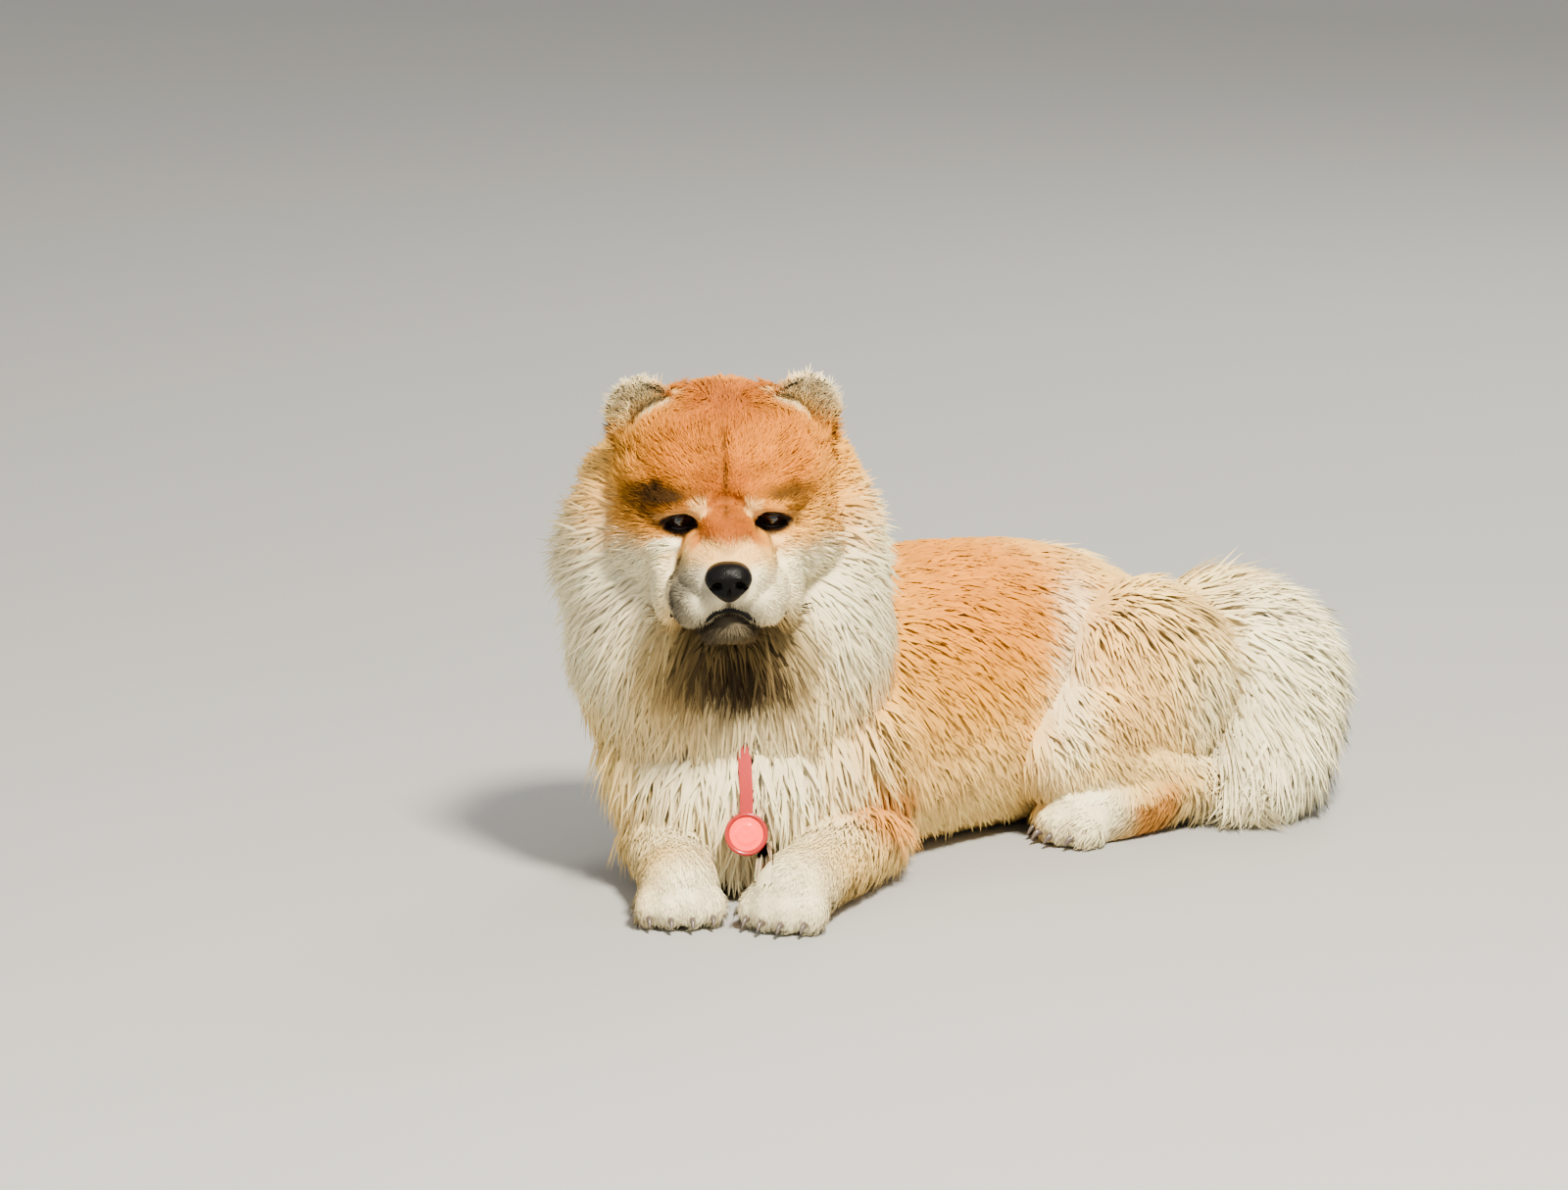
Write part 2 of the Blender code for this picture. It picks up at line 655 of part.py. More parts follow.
def rows_of_roots(loft, coat, rng):
    """Root places on a loft in staggered rows, as far apart as the coat's steps say."""
    (first, last), (low, high) = coat.along, coat.around
    length = np.linalg.norm(np.diff(loft.centres, axis=0), axis=1).sum() * (last - first)
    rows = max(2, round(length / coat.row_step))
    places = []
    for i in range(rows):
        u = first + (last - first) * (i + 0.5) / rows
        ring = loft.grid[round(u * (loft.rings - 1))]
        girth = np.linalg.norm(np.roll(ring, -1, axis=0) - ring, axis=1).sum() * (high - low)
        count = max(3, round(girth / coat.lock_step))
        stagger = 0.75 if i % 2 else 0.25
        for j in range(count):
            v = low + (high - low) * (j + stagger) / count
            du = (last - first) / rows * VARIATION * rng.uniform(-1, 1)
            dv = (high - low) / count * VARIATION * rng.uniform(-1, 1)
            places.append((u + du, v + dv))
    return places


def covered(point, trees):
    """True where a root would lie inside one of the given solids or close to it."""
    for tree in trees:
        if tree.find_nearest(point)[3] < ROOT_CLEARANCE or inside(tree, point):
            return True
    return False


def varied(rng, size):
    return size * rng.uniform(1 - VARIATION, 1 + VARIATION)


# The parts of the body, as plain cores

def mirrored(x):
    return (1, -1) if x else (1,)


def eye_place(side):
    return in_head((EYE.x * side, EYE.y, EYE.z))


def ball(centre, radius, name="ball"):
    """An eyeball, its poles to the front and back."""
    made = oval((0, 0, 0), (radius, radius, radius), turn=(90, 0, 0), rows=9, columns=12)
    made.data.transform(HEAD_TURN.to_matrix().to_4x4())
    for vertex in made.data.vertices:
        vertex.co += centre
    made.name = name
    return made


def eye_slit(side):
    """The almond gap between the lids, as a prism from the eyeball's middle forwards."""
    points, faces = [], []
    count = EYE_SLIT_POINTS
    lean, rise = math.sin(EYE_SLANT), math.cos(EYE_SLANT)
    for deep in EYE_SLIT_RUN:
        for k in range(count):
            t = 2 * math.pi * k / count
            x = EYE_SLIT[0] * math.cos(t)
            z = EYE_SLIT[1] * math.sin(t) * abs(math.sin(t)) ** 0.25
            across, up = x * rise - z * lean, x * lean + z * rise
            points.append(in_head(((EYE.x - across) * side, EYE.y - deep, EYE.z + up)))
    for k in range(count):
        n = (k + 1) % count
        faces.append((k, n, count + n, count + k))
    faces.append(tuple(range(count)))
    faces.append(tuple(range(count, 2 * count)))
    return new_object("slit", points, faces)


def head_core():
    pieces = []
    for centre, size, squareness in HEAD_OVALS:
        for side in mirrored(centre[0]):
            pieces.append(oval((centre[0] * side, *centre[1:]), size, squareness=squareness, frame=in_head))
    for side in (1, -1):
        pieces.append(ball(eye_place(side), LID_RADIUS))
    head = blended("head", pieces, HEAD_VOXEL, HEAD_SMOOTHING, HEAD_TRIANGLES)
    mouth = [(*in_head(p), MOUTH_DEPTH, MOUTH_HALF_GAP) for p in MOUTH_LINE]
    grooves = [Loft(mouth, 13, 4, squareness=1.5).mesh("mouth_line")]
    for (top, bottom), radius in ((FURROW, FURROW_RADIUS), (PHILTRUM, PHILTRUM_RADIUS)):
        grooves.append(limb(in_head(top), in_head(bottom), radius, radius, rings=6, sides=6))
    for side in (1, -1):
        grooves.append(ball(eye_place(side), EYE_RADIUS + GAP))
        grooves.append(eye_slit(side))
    cut(head, grooves)
    drop(*grooves)
    return keep_largest(head)


def nose_core():
    nose = oval(NOSE, NOSE_SIZE, squareness=2.5, frame=in_head, rows=8, columns=12)
    nose.name = "nose"
    holes = []
    for side in (1, -1):
        place = (NOSTRIL.x * side, NOSTRIL.y, NOSTRIL.z)
        turn = (0, NOSTRIL_TILT * side, 0)
        holes.append(oval(place, NOSTRIL_SIZE, turn=turn, frame=in_head, rows=6, columns=8))
    cut(nose, holes, "EXACT")
    drop(*holes)
    return nose


def ear_core(side):
    """A thick pricked ear, a rounded triangle whose edges come forward round its cup."""
    rows, columns = EAR_GRID
    forward, outward, around = [math.radians(a) for a in EAR_TURN]
    turn = Euler((forward, outward * side, around * side))
    front, back = [], []
    for i in range(rows):
        v = i / (rows - 1)
        half = EAR_HALF_WIDTH * (1 - (0.97 * v) ** 3.0) ** 0.55
        for j in range(columns + 1):
            u = 2.0 * j / columns - 1.0
            cup = EAR_CUP * (1 - v * 0.55) * (1 - u * u)
            thick = EAR_THICKNESS * (1 - 0.35 * v) * (1 - 0.60 * u * u)
            rise = v * (EAR_HEIGHT + EAR_SINK) - EAR_SINK
            lean = -EAR_LEAN * v * v
            front.append((u * half, cup + lean, rise))
            back.append((u * half * 1.03, cup + lean + thick, rise + 0.003 * v))
    wide = columns + 1
    offset = len(front)
    faces = []
    for i in range(rows - 1):
        for j in range(columns):
            a, b, c, d = i * wide + j, i * wide + j + 1, (i + 1) * wide + j + 1, (i + 1) * wide + j
            faces.append((a, b, c, d))
            faces.append((offset + a, offset + d, offset + c, offset + b))
    rim = list(range(wide))
    rim += [i * wide + columns for i in range(1, rows)]
    rim += [(rows - 1) * wide + j for j in range(columns - 1, -1, -1)]
    rim += [i * wide for i in range(rows - 2, 0, -1)]
    for k, a in enumerate(rim):
        b = rim[(k + 1) % len(rim)]
        faces.append((a, b, offset + b, offset + a))
    placed = []
    for p in front + back:
        p = Vector(p)
        p.rotate(turn)
        placed.append(in_head((EAR_ROOT.x * side + p.x, EAR_ROOT.y + p.y, EAR_ROOT.z + p.z)))
    name = "ear_left" if side > 0 else "ear_right"
    return blended(name, [new_object("ear", placed, faces)], EAR_VOXEL, EAR_SMOOTHING, EAR_TRIANGLES)


def toes(ball_of_foot, heading):
    """Four toes side by side round the front of a paw, and a claw on each."""
    heading = Vector((heading[0], heading[1], 0)).normalized()
    side = Vector((-heading.y, heading.x, 0))
    yaw = math.degrees(math.atan2(heading.x, -heading.y))
    pads, claws = [], []
    for k in (-1.5, -0.5, 0.5, 1.5):
        fan = side * (TOE_SPREAD * k) + heading * (TOE_REACH - OUTER_TOE_SETBACK * abs(k) ** 1.6)
        centre = Vector((ball_of_foot[0], ball_of_foot[1], TOE_SIZE[2] * 0.94)) + fan
        pads.append(oval(centre, TOE_SIZE, turn=(0, 0, yaw + TOE_FAN * k)))
        start = centre + heading * (TOE_SIZE[1] * 0.72) + Vector((0, 0, -0.004))
        tip = start + heading * CLAW_LENGTH - Vector((0, 0, CLAW_DROP))
        middle = (start + tip) / 2 + Vector((0, 0, CLAW_DROP * 0.2))
        rows = []
        for point, share in ((start, 1.0), (middle, 0.8), (tip, 0.25)):
            rows.append((*point, CLAW_RADIUS * share, CLAW_RADIUS * share))
        claws.append(Loft(rows, 3, 5, squareness=2.0).mesh("claw"))
    return pads, claws


def foreleg_core(side_name):
    place = FORELEGS[side_name]
    heading = np.array(place["paw"]) - np.array(place["wrist"])
    pads, claws = toes(place["paw"], heading)
    pieces = pads + [
        limb(place["shoulder"], place["elbow"], UPPER_ARM_RADIUS, ELBOW_RADIUS),
        limb(place["elbow"], place["wrist"], ELBOW_RADIUS, WRIST_RADIUS),
        limb(place["wrist"], place["paw"], WRIST_RADIUS, PAW_RADIUS),
    ]
    leg = blended("foreleg_" + side_name, pieces, FORELEG_VOXEL, LEG_SMOOTHING, FORELEG_TRIANGLES)
    return fuse(leg, claws)


def hindleg_core(side_name):
    side = 1 if side_name == "left" else -1

    def placed(p):
        return in_pelvis(p, side)

    knee, hock, sole, paw = placed(KNEE), placed(HOCK), placed(HIND_BALL), placed(HIND_PAW)
    pads, claws = toes(paw, paw - hock)
    pieces = pads + [
        oval(THIGH_CENTRE, THIGH_SIZE, turn=(0, THIGH_TILT, 0), squareness=2.2, frame=placed),
        limb(placed(HIP), knee, HIP_RADIUS, KNEE_RADIUS),
        limb(knee, hock, KNEE_RADIUS, HOCK_RADIUS),
        limb(placed(HEEL), sole, HOCK_RADIUS, HIND_BALL_RADIUS),
        limb(sole, paw, HIND_BALL_RADIUS, HIND_PAW_RADIUS),
    ]
    leg = blended("hindleg_" + side_name, pieces, HINDLEG_VOXEL, LEG_SMOOTHING, HINDLEG_TRIANGLES)
    return fuse(leg, claws)


def disc(centre, facing, radius, depth, bevel, name, sides=16):
    """A round flat piece that faces along `facing`, with bevelled rims."""
    facing = Vector(facing).normalized()
    up = (Vector((0, 0, 1)) - facing * facing.z).normalized()
    side = up.cross(facing)
    points, faces = [], []
    half = depth / 2
    profile = ((-half, radius - bevel), (bevel - half, radius), (half - bevel, radius), (half, radius - bevel))
    for along, r in profile:
        for k in range(sides):
            t = 2 * math.pi * k / sides
            points.append(Vector(centre) + facing * along + side * r * math.cos(t) + up * r * math.sin(t))
    for i in range(3):
        for k in range(sides):
            n = (k + 1) % sides
            faces.append((i * sides + k, i * sides + n, (i + 1) * sides + n, (i + 1) * sides + k))
    faces.append(tuple(range(sides)))
    faces.append(tuple(range(3 * sides, 4 * sides)))
    return new_object(name, points, faces)


def tag_nodes():
    """A round tag lamp: a case, a lens let into its front and the strap that it hangs by."""
    case = disc(TAG, TAG_FACING, TAG_RADIUS, TAG_DEPTH, TAG_BEVEL, "tag_case")
    front = TAG + TAG_FACING * (TAG_DEPTH / 2)
    seat = disc(front, TAG_FACING, LENS_RADIUS + GAP, LENS_SEAT, GAP, "seat")
    middle = front - TAG_FACING * (LENS_SEAT / 2 - LENS_DEPTH / 2 - GAP)
    lens = disc(middle, TAG_FACING, LENS_RADIUS, LENS_DEPTH, LENS_BEVEL, "tag_lens")
    cut(case, [seat], "EXACT")
    drop(seat)
    rows = [(*p, STRAP_THICKNESS / 2, STRAP_WIDTH / 2) for p in STRAP_PATH]
    strap = Loft(rows, 7, 8, side=(0, -1, 0), squareness=3.0).mesh("tag_strap")
    return case, lens, strap


def floor_block(top):
    """A wide block cut from whatever reaches below its top."""
    return box_between((-2, -2, -1), (2, 2, top))


def box_between(low, high):
    points = [(x, y, z) for x in (low[0], high[0]) for y in (low[1], high[1]) for z in (low[2], high[2])]
    faces = [(0, 1, 3, 2), (4, 6, 7, 5), (0, 4, 5, 1), (2, 3, 7, 6), (0, 2, 6, 4), (1, 5, 7, 3)]
    return new_object("block", points, faces)


# Where the locks grow

def trunk_locks(trunk, own, others, rng):
    """Rows round the trunk that lie back along it, and down on its sides."""
    wanted = []
    coat = TRUNK_COAT
    for u, v in rows_of_roots(trunk, coat, rng):
        point, normal, along = trunk.place(u, v)
        if point[2] < LOWEST_ROOT["trunk"] or covered(Vector(point), others):
            continue
        steep = min(1.0, abs(v - 0.25) / 0.25)
        lie = Vector(along) + DOWN * (0.10 + 0.75 * steep)
        length, width = varied(rng, coat.length), varied(rng, coat.width)
        path = lock_path(point, normal, lie, length, math.radians(coat.lift), coat.droop, own + others)
        wanted.append((path, normal, width))
    return wanted


def chest_locks(trunk, own, others, rng):
    """Locks that hang from the chest between the forelegs."""
    wanted = []
    coat = CHEST_COAT
    for u, v in rows_of_roots(trunk, coat, rng):
        point, normal, _ = trunk.place(u, v)
        if point[2] < LOWEST_ROOT["chest"] or covered(Vector(point), others):
            continue
        length, width = varied(rng, coat.length), varied(rng, coat.width)
        path = lock_path(point, normal, DOWN, length, math.radians(coat.lift), coat.droop, own + others)
        wanted.append((path, normal, width))
    return wanted


def trunk_and_chest_locks(trunk, own, others, rng):
    return trunk_locks(trunk, own, others, rng) + chest_locks(trunk, own, others, rng)


def neck_locks(neck, own, others, rng):
    """The ruff: locks that stand away from the face, hang on the chest and fan out behind the ears."""
    wanted = []
    coat = RUFF_COAT
    for u, v in rows_of_roots(neck, coat, rng):
        point, normal, along = neck.place(u, v)
        if covered(Vector(point), others):
            continue
        front = max(0.0, math.cos((v - 0.25) * 2 * math.pi))
        high = min(1.0, max(0.0, (u - RUFF_TOP[0]) / (RUFF_TOP[1] - RUFF_TOP[0])))
        hang = Vector(along) * -1.0 + Vector((0, 0.30 * (1 - front), -0.15))
        fan = Vector((math.copysign(0.75, point[0] - HEAD_CENTRE.x), 0.50, 0.10))
        length, width = varied(rng, coat.length - RUFF_TOP_SHORTER * high), varied(rng, coat.width)
        lift = math.radians(coat.lift - 8 * front)
        lie = hang * (1 - high) + fan * high
        path = lock_path(point, normal, lie, length, lift, coat.droop * (1 - high), own + others)
        wanted.append((path, normal, width))
    return wanted


def tail_locks(tail, own, others, rng):
    """The plume: locks all round the tail that fan out towards its tip."""
    wanted = []
    coat = PLUME_COAT
    for u, v in rows_of_roots(tail, coat, rng):
        point, normal, along = tail.place(u, v)
        if point[2] < LOWEST_ROOT["tail"] or covered(Vector(point), others):
            continue
        length, width = varied(rng, coat.length), varied(rng, coat.width)
        path = lock_path(point, normal, along, length, math.radians(coat.lift), coat.droop, own + others)
        wanted.append((path, normal, width))
    return wanted


def thigh_locks(side_name, own, others, rng):
    """Coat over the thigh and the longer breeches behind it, in rows round the thigh's middle."""
    side = 1 if side_name == "left" else -1
    centre = in_pelvis(THIGH_CENTRE, side)
    wanted = []
    first, last = THIGH_SWEEP
    for i, (tilt, count) in enumerate(THIGH_ROWS):
        stagger = 0.75 if i % 2 else 0.25
        for k in range(count):
            turn = math.radians(first + (last - first) * (k + stagger) / count + rng.uniform(-4, 4))
            rise = math.radians(tilt + rng.uniform(-4, 4))
            away = (math.sin(turn) * math.cos(rise), math.cos(turn) * math.cos(rise), math.sin(rise))
            far = in_pelvis([c + w * FAR for c, w in zip(THIGH_CENTRE, away)], side)
            point, normal, _, _ = own[0].ray_cast(far, (centre - far).normalized())
            if point is None or point.z < LOWEST_ROOT["thigh"] or covered(point, others):
                continue
            back = max(0.0, math.sin(turn))
            lie = PELVIS_BACK * (0.35 + 0.35 * back) + DOWN
            length = varied(rng, THIGH_LOCK["length"] + BREECHES_LONGER * back)
            width = varied(rng, THIGH_LOCK["width"])
            lift = math.radians(THIGH_LOCK["lift"] + 8 * back)
            path = lock_path(point, normal, lie, length, lift, THIGH_LOCK["droop"], own + others)
            wanted.append((path, normal, width))
    return wanted


def foreleg_locks(side_name, own, others, rng):
    """The feathering on the outer side and back of the forearm."""
    place = FORELEGS[side_name]
    side = 1 if side_name == "left" else -1
    elbow, wrist = Vector(place["elbow"]), Vector(place["wrist"])
    outward = Vector((side, 0.25, 0)).normalized()
    wanted = []
    lie = (elbow - wrist).normalized() * 0.8 + DOWN * 0.6 + outward * 0.1
    for share, tilts in FORELEG_ROWS:
        for tilt in tilts:
            rise = math.radians(tilt + rng.uniform(-4, 4))
            away = outward * math.cos(rise) - DOWN * math.sin(rise)
            point, normal, _, _ = own[0].ray_cast(elbow.lerp(wrist, share) + away * FAR, -away)
            if point is None or covered(point, others):
                continue
            length, width = varied(rng, FORELEG_LOCK["length"]), varied(rng, FORELEG_LOCK["width"])
            lift = math.radians(FORELEG_LOCK["lift"])
            path = lock_path(point, normal, lie, length, lift, FORELEG_LOCK["droop"], own + others)
            wanted.append((path, normal, width))
    return wanted


def main():
    for old in list(bpy.data.objects):
        bpy.data.objects.remove(old)
    rng = random.Random(SEED)
    floor, coat_floor = floor_block(0.0), floor_block(COAT_ABOVE_FLOOR)
    trunk = Loft(TRUNK, 13, 18)
    collar = Loft(NECK, 10, 18, side=(1, 0, 0))
    plume = Loft(TAIL, 9, 9, squareness=2.0)

    core = {"head": head_core(), "nose": nose_core()}
    core.update(neck=collar.mesh("neck"), torso=trunk.mesh("torso"), tail=plume.mesh("tail"))
    for side, name in ((1, "left"), (-1, "right")):
        core["ear_" + name] = ear_core(side)
        core["eye_" + name] = ball(eye_place(side), EYE_RADIUS, "eye_" + name)
        core["foreleg_" + name] = foreleg_core(name)
        core["hindleg_" + name] = hindleg_core(name)
    core["tag_case"], core["tag_lens"], core["tag_strap"] = tag_nodes()
    for name in ("torso", "tail", "foreleg_left", "foreleg_right", "hindleg_left", "hindleg_right"):
        cut(core[name], [floor])

    shell = {"head": grown(core["head"], CORE_CLEARANCE)}
    for name, before in GIVES_WAY_TO.items():
        cut(core[name], [shell[b] for b in before])
        keep_largest(core[name])
        shell[name] = grown(core[name], CORE_CLEARANCE)
    drop(*shell.values())
    shell = {name: grown(thing, COAT_CLEARANCE) for name, thing in core.items()}
    tree = {name: surface_of(thing) for name, thing in core.items()}

    growing = (
        ("neck", neck_locks, collar),
        ("torso", trunk_and_chest_locks, trunk),
        ("hindleg_left", thigh_locks, "left"),
        ("hindleg_right", thigh_locks, "right"),
        ("tail", tail_locks, plume),
        ("foreleg_left", foreleg_locks, "left"),
        ("foreleg_right", foreleg_locks, "right"),
    )
    around = {}
    for name, grow, shape in growing:
        wanted = grow(shape, [tree[name]], [tree[n] for n in COAT_CLEARS_CORES[name]], rng)
        around[name] = locks_of(wanted, LOCK_CLEARANCE)
        coat = locks_of(wanted)
        cutters = [shell[n] for n in COAT_CLEARS_CORES[name]] + [around[n] for n in COAT_CLEARS_COATS[name]]
        cut(coat, cutters + [coat_floor])
        fuse(core[name], [coat])
        keep_largest(core[name])
    drop(floor, coat_floor, *shell.values(), *around.values())

    for name, thing in core.items():
        thing.name = name
        thing.data.name = name
        thing.data.materials.clear()
        thing.data.materials.append(material(*FINISHES.get(name, ("coat", 0.9))))
    centre_on_origin(list(core.values()))


def centre_on_origin(things):
    """Puts the middle of the whole model's box over the origin."""
    corners = np.array([v.co[:] for thing in things for v in thing.data.vertices])
    middle = (corners.min(axis=0) + corners.max(axis=0)) / 2
    for thing in things:
        for vertex in thing.data.vertices:
            vertex.co.x -= middle[0]
            vertex.co.y -= middle[1]


main()
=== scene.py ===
"""A chow chow lying on its belly: its skin, its coat of tufts, its face and the tag lamp that it wears.

All lengths are metres and +Z is up. The head and the forelegs face -Y, and the trunk curves to the dog's left, +X.
Shapes are worked out in the dog's own frame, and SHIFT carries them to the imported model's frame.
"""
import math

import bpy
import numpy as np
from mathutils import Euler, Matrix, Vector
from mathutils.bvhtree import BVHTree
from mathutils.kdtree import KDTree


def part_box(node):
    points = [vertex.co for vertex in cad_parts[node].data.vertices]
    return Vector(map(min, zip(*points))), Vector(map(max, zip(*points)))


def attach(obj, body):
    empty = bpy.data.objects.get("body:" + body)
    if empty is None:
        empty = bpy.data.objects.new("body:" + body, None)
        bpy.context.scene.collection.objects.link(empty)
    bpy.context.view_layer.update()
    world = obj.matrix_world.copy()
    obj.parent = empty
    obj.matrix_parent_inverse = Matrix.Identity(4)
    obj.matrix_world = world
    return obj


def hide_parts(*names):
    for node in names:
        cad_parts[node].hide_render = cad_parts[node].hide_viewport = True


bl_info = {
    "name": "Lying Chow Chow",
    "version": (1, 0, 0),
    "blender": (4, 5, 0),
    "location": "3D View > Sidebar > Chow Chow",
    "description": "Builds the skin, coat, face and tag of a lying chow chow round its packed solids",
    "category": "Object",
}

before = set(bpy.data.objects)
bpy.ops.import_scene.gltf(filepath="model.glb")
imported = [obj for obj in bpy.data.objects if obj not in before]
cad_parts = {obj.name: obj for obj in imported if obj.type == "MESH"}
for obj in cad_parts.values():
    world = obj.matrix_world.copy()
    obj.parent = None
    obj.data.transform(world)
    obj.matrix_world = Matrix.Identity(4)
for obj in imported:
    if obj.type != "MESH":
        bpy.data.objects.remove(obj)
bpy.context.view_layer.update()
BODY = "root"
SEED = 11

# The head's own frame has its origin at the middle of the skull, -y forward and +z up.
HEAD_CENTRE = np.array((-0.016, -0.070, 0.385))
HEAD_AXES = np.array(Euler((math.radians(6.0), math.radians(-1.2), math.radians(1.3))).to_matrix())
HEAD_OVALS = (
    # centre, size, squareness; each with x above 0 is made on both sides
    ((0.000, 0.006, 0.010), (0.080, 0.088, 0.072), 2.4),
    ((0.060, -0.024, 0.006), (0.034, 0.050, 0.046), 2.2),
    ((0.020, -0.026, 0.025), (0.062, 0.062, 0.058), 2.3),
    ((0.000, 0.055, 0.016), (0.068, 0.076, 0.056), 2.0),
    ((0.056, -0.030, -0.036), (0.040, 0.060, 0.058), 2.0),
    ((0.040, -0.083, 0.004), (0.030, 0.018, 0.014), 2.0),
    ((0.0255, -0.0930, -0.0040), (0.0095, 0.0085, 0.0085), 2.0),
    ((0.047, -0.076, -0.043), (0.024, 0.020, 0.013), 2.0),
    ((0.000, -0.108, -0.052), (0.045, 0.058, 0.038), 2.8),
    ((0.028, -0.118, -0.073), (0.027, 0.044, 0.027), 2.2),
    ((0.050, -0.080, -0.078), (0.019, 0.036, 0.032), 2.2),
    ((0.000, -0.098, -0.022), (0.026, 0.060, 0.022), 2.2),
    ((0.000, -0.112, -0.098), (0.031, 0.046, 0.018), 2.3),
    ((0.032, -0.050, -0.080), (0.036, 0.052, 0.036), 2.0),
)
EYE = np.array((0.041, -0.0675, -0.018))
EYE_SLANT = math.radians(13.0)
EYE_SLIT = (0.0144, 0.0068)
LID_RADIUS = 0.0158
SEAT_GAP = 0.0003
NOSE = np.array((0.0, -0.1650, -0.0475))
NOSE_SIZE = np.array((0.0212, 0.0150, 0.0180))
MOUTH_LINE = (
    (0.058, -0.078, -0.104), (0.052, -0.112, -0.105), (0.034, -0.145, -0.101), (0.017, -0.158, -0.090),
    (0.000, -0.163, -0.080), (-0.017, -0.158, -0.090), (-0.034, -0.145, -0.101), (-0.052, -0.112, -0.105),
    (-0.058, -0.078, -0.104),
)
FURROW = ((0.0, -0.078, 0.056), (0.0, -0.086, 0.030), (0.0, -0.092, 0.010), (0.0, -0.106, -0.006))
EAR_ROOT = np.array((0.0630, -0.0120, 0.0400))
EAR_TURN = (10.0, 10.0, 14.0)
EAR_HEIGHT = 0.056
EAR_HALF_WIDTH = 0.0385
EAR_CUP = 0.017
EAR_THICKNESS = 0.0060
EAR_SINK = 0.014
FACE_COAT_DEPTH = 0.28           # the share of the face's tuft length that its skin lies below the head's ovals
HEAD_ROUNDS, BODY_ROUNDS = 9, 5  # rounds of smoothing
# The skin is darker than its coat as painted shade in the depth beneath the tufts
SKIN_SHADE_BELOW_COAT = 0.88                 # the skin's colour is this share of its coat's

# Rows of a tube: centre x, y, z, half width across the path and half height.
TRUNK = (
    (-0.004, -0.086, 0.126, 0.040, 0.045), (0.000, -0.068, 0.126, 0.080, 0.088),
    (0.010, -0.015, 0.126, 0.110, 0.118), (0.040, 0.060, 0.127, 0.123, 0.125),
    (0.100, 0.140, 0.128, 0.127, 0.130), (0.190, 0.212, 0.128, 0.117, 0.131),
    (0.270, 0.258, 0.122, 0.100, 0.124), (0.334, 0.284, 0.106, 0.082, 0.100),
    (0.372, 0.296, 0.098, 0.050, 0.060),
)
NECK = (
    (0.006, 0.020, 0.120, 0.080, 0.078), (0.000, 0.004, 0.180, 0.110, 0.098),
    (-0.010, -0.010, 0.245, 0.120, 0.106), (-0.016, -0.018, 0.305, 0.119, 0.100),
    (-0.016, -0.018, 0.360, 0.113, 0.090), (-0.014, -0.012, 0.405, 0.094, 0.074),
    (-0.014, -0.008, 0.440, 0.060, 0.046),
)
TAIL = (
    (0.336, 0.284, 0.130, 0.028, 0.028), (0.388, 0.302, 0.142, 0.031, 0.031),
    (0.444, 0.304, 0.156, 0.036, 0.036), (0.484, 0.288, 0.142, 0.037, 0.037),
    (0.495, 0.262, 0.090, 0.034, 0.034), (0.484, 0.236, 0.054, 0.030, 0.030),
    (0.462, 0.212, 0.038, 0.018, 0.020),
)
FORELEGS = {
    1: ((0.092, -0.030, 0.140), (0.116, 0.014, 0.052), (0.068, -0.150, 0.037), (0.043, -0.204, 0.032)),
    -1: ((-0.070, -0.030, 0.140), (-0.066, 0.010, 0.050), (-0.060, -0.136, 0.036), (-0.056, -0.188, 0.032)),
}
FORELEG_RADII = (0.044, 0.037, 0.031, 0.033)
TOE_SIZE = (0.0125, 0.0220, 0.0190)
TOE_SPREAD = 0.0190

CHEST = (0.002, -0.060, 0.112)
CHEST_SIZE = (0.086, 0.046, 0.078)

# The pelvis frame: back along the trunk, out to the side, up.
PELVIS = np.array((0.300, 0.275, 0.0))
PELVIS_BACK = np.array((0.867, 0.498, 0.0))
PELVIS_LEFT = np.array((0.498, -0.867, 0.0))
THIGH_CENTRE = (0.012, 0.088, 0.124)
THIGH_SIZE = (0.082, 0.060, 0.097)
HIND_POINTS = ((-0.006, 0.088, 0.124), (-0.066, 0.108, 0.080), (0.052, 0.126, 0.048), (-0.064, 0.136, 0.027))
HIND_RADII = (0.060, 0.046, 0.027, 0.030)

TAG = np.array((0.004, -0.134, 0.069))
TAG_FACING = np.array((0.0, -0.985, 0.17))
STRAP_PATH = (
    (0.004, -0.1325, 0.086), (0.004, -0.1300, 0.104), (0.003, -0.1240, 0.126), (0.001, -0.1130, 0.150),
    (0.000, -0.0980, 0.172),
)
DOWN = np.array((0.0, 0.0, -1.0))
FLOOR_CLEARANCE = 0.0015


# Frames and small vector sums

def unit(v):
    """Vectors divided by their lengths."""
    return v / np.maximum(np.linalg.norm(v, axis=-1, keepdims=True), 1e-9)


def in_head(p):
    """Points of the head's frame, turned and moved into the dog's."""
    return HEAD_CENTRE + np.asarray(p, float) @ HEAD_AXES.T


def to_head(p):
    """Points of the dog's frame, seen in the head's."""
    return (p - HEAD_CENTRE) @ HEAD_AXES


def in_pelvis(p, side):
    """Points given as back, out and up from the pelvis, on the left (1) or the right (-1), in the dog's frame."""
    p = np.asarray(p, float)
    flat = PELVIS_BACK * p[..., 0:1] + PELVIS_LEFT * p[..., 1:2] * side
    return PELVIS + flat - DOWN * p[..., 2:3]


def eye_place(side):
    """The middle of an eyeball in the dog's frame."""
    return in_head(EYE * (side, 1, 1))


SHIFT = np.array(sum(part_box("eye_left"), Vector())) / 2 - eye_place(1)


def smooth(x, low, high):
    """0 below low, 1 above high, and a cubic step between them."""
    t = np.clip((x - low) / (high - low), 0.0, 1.0)
    return t * t * (3 - 2 * t)


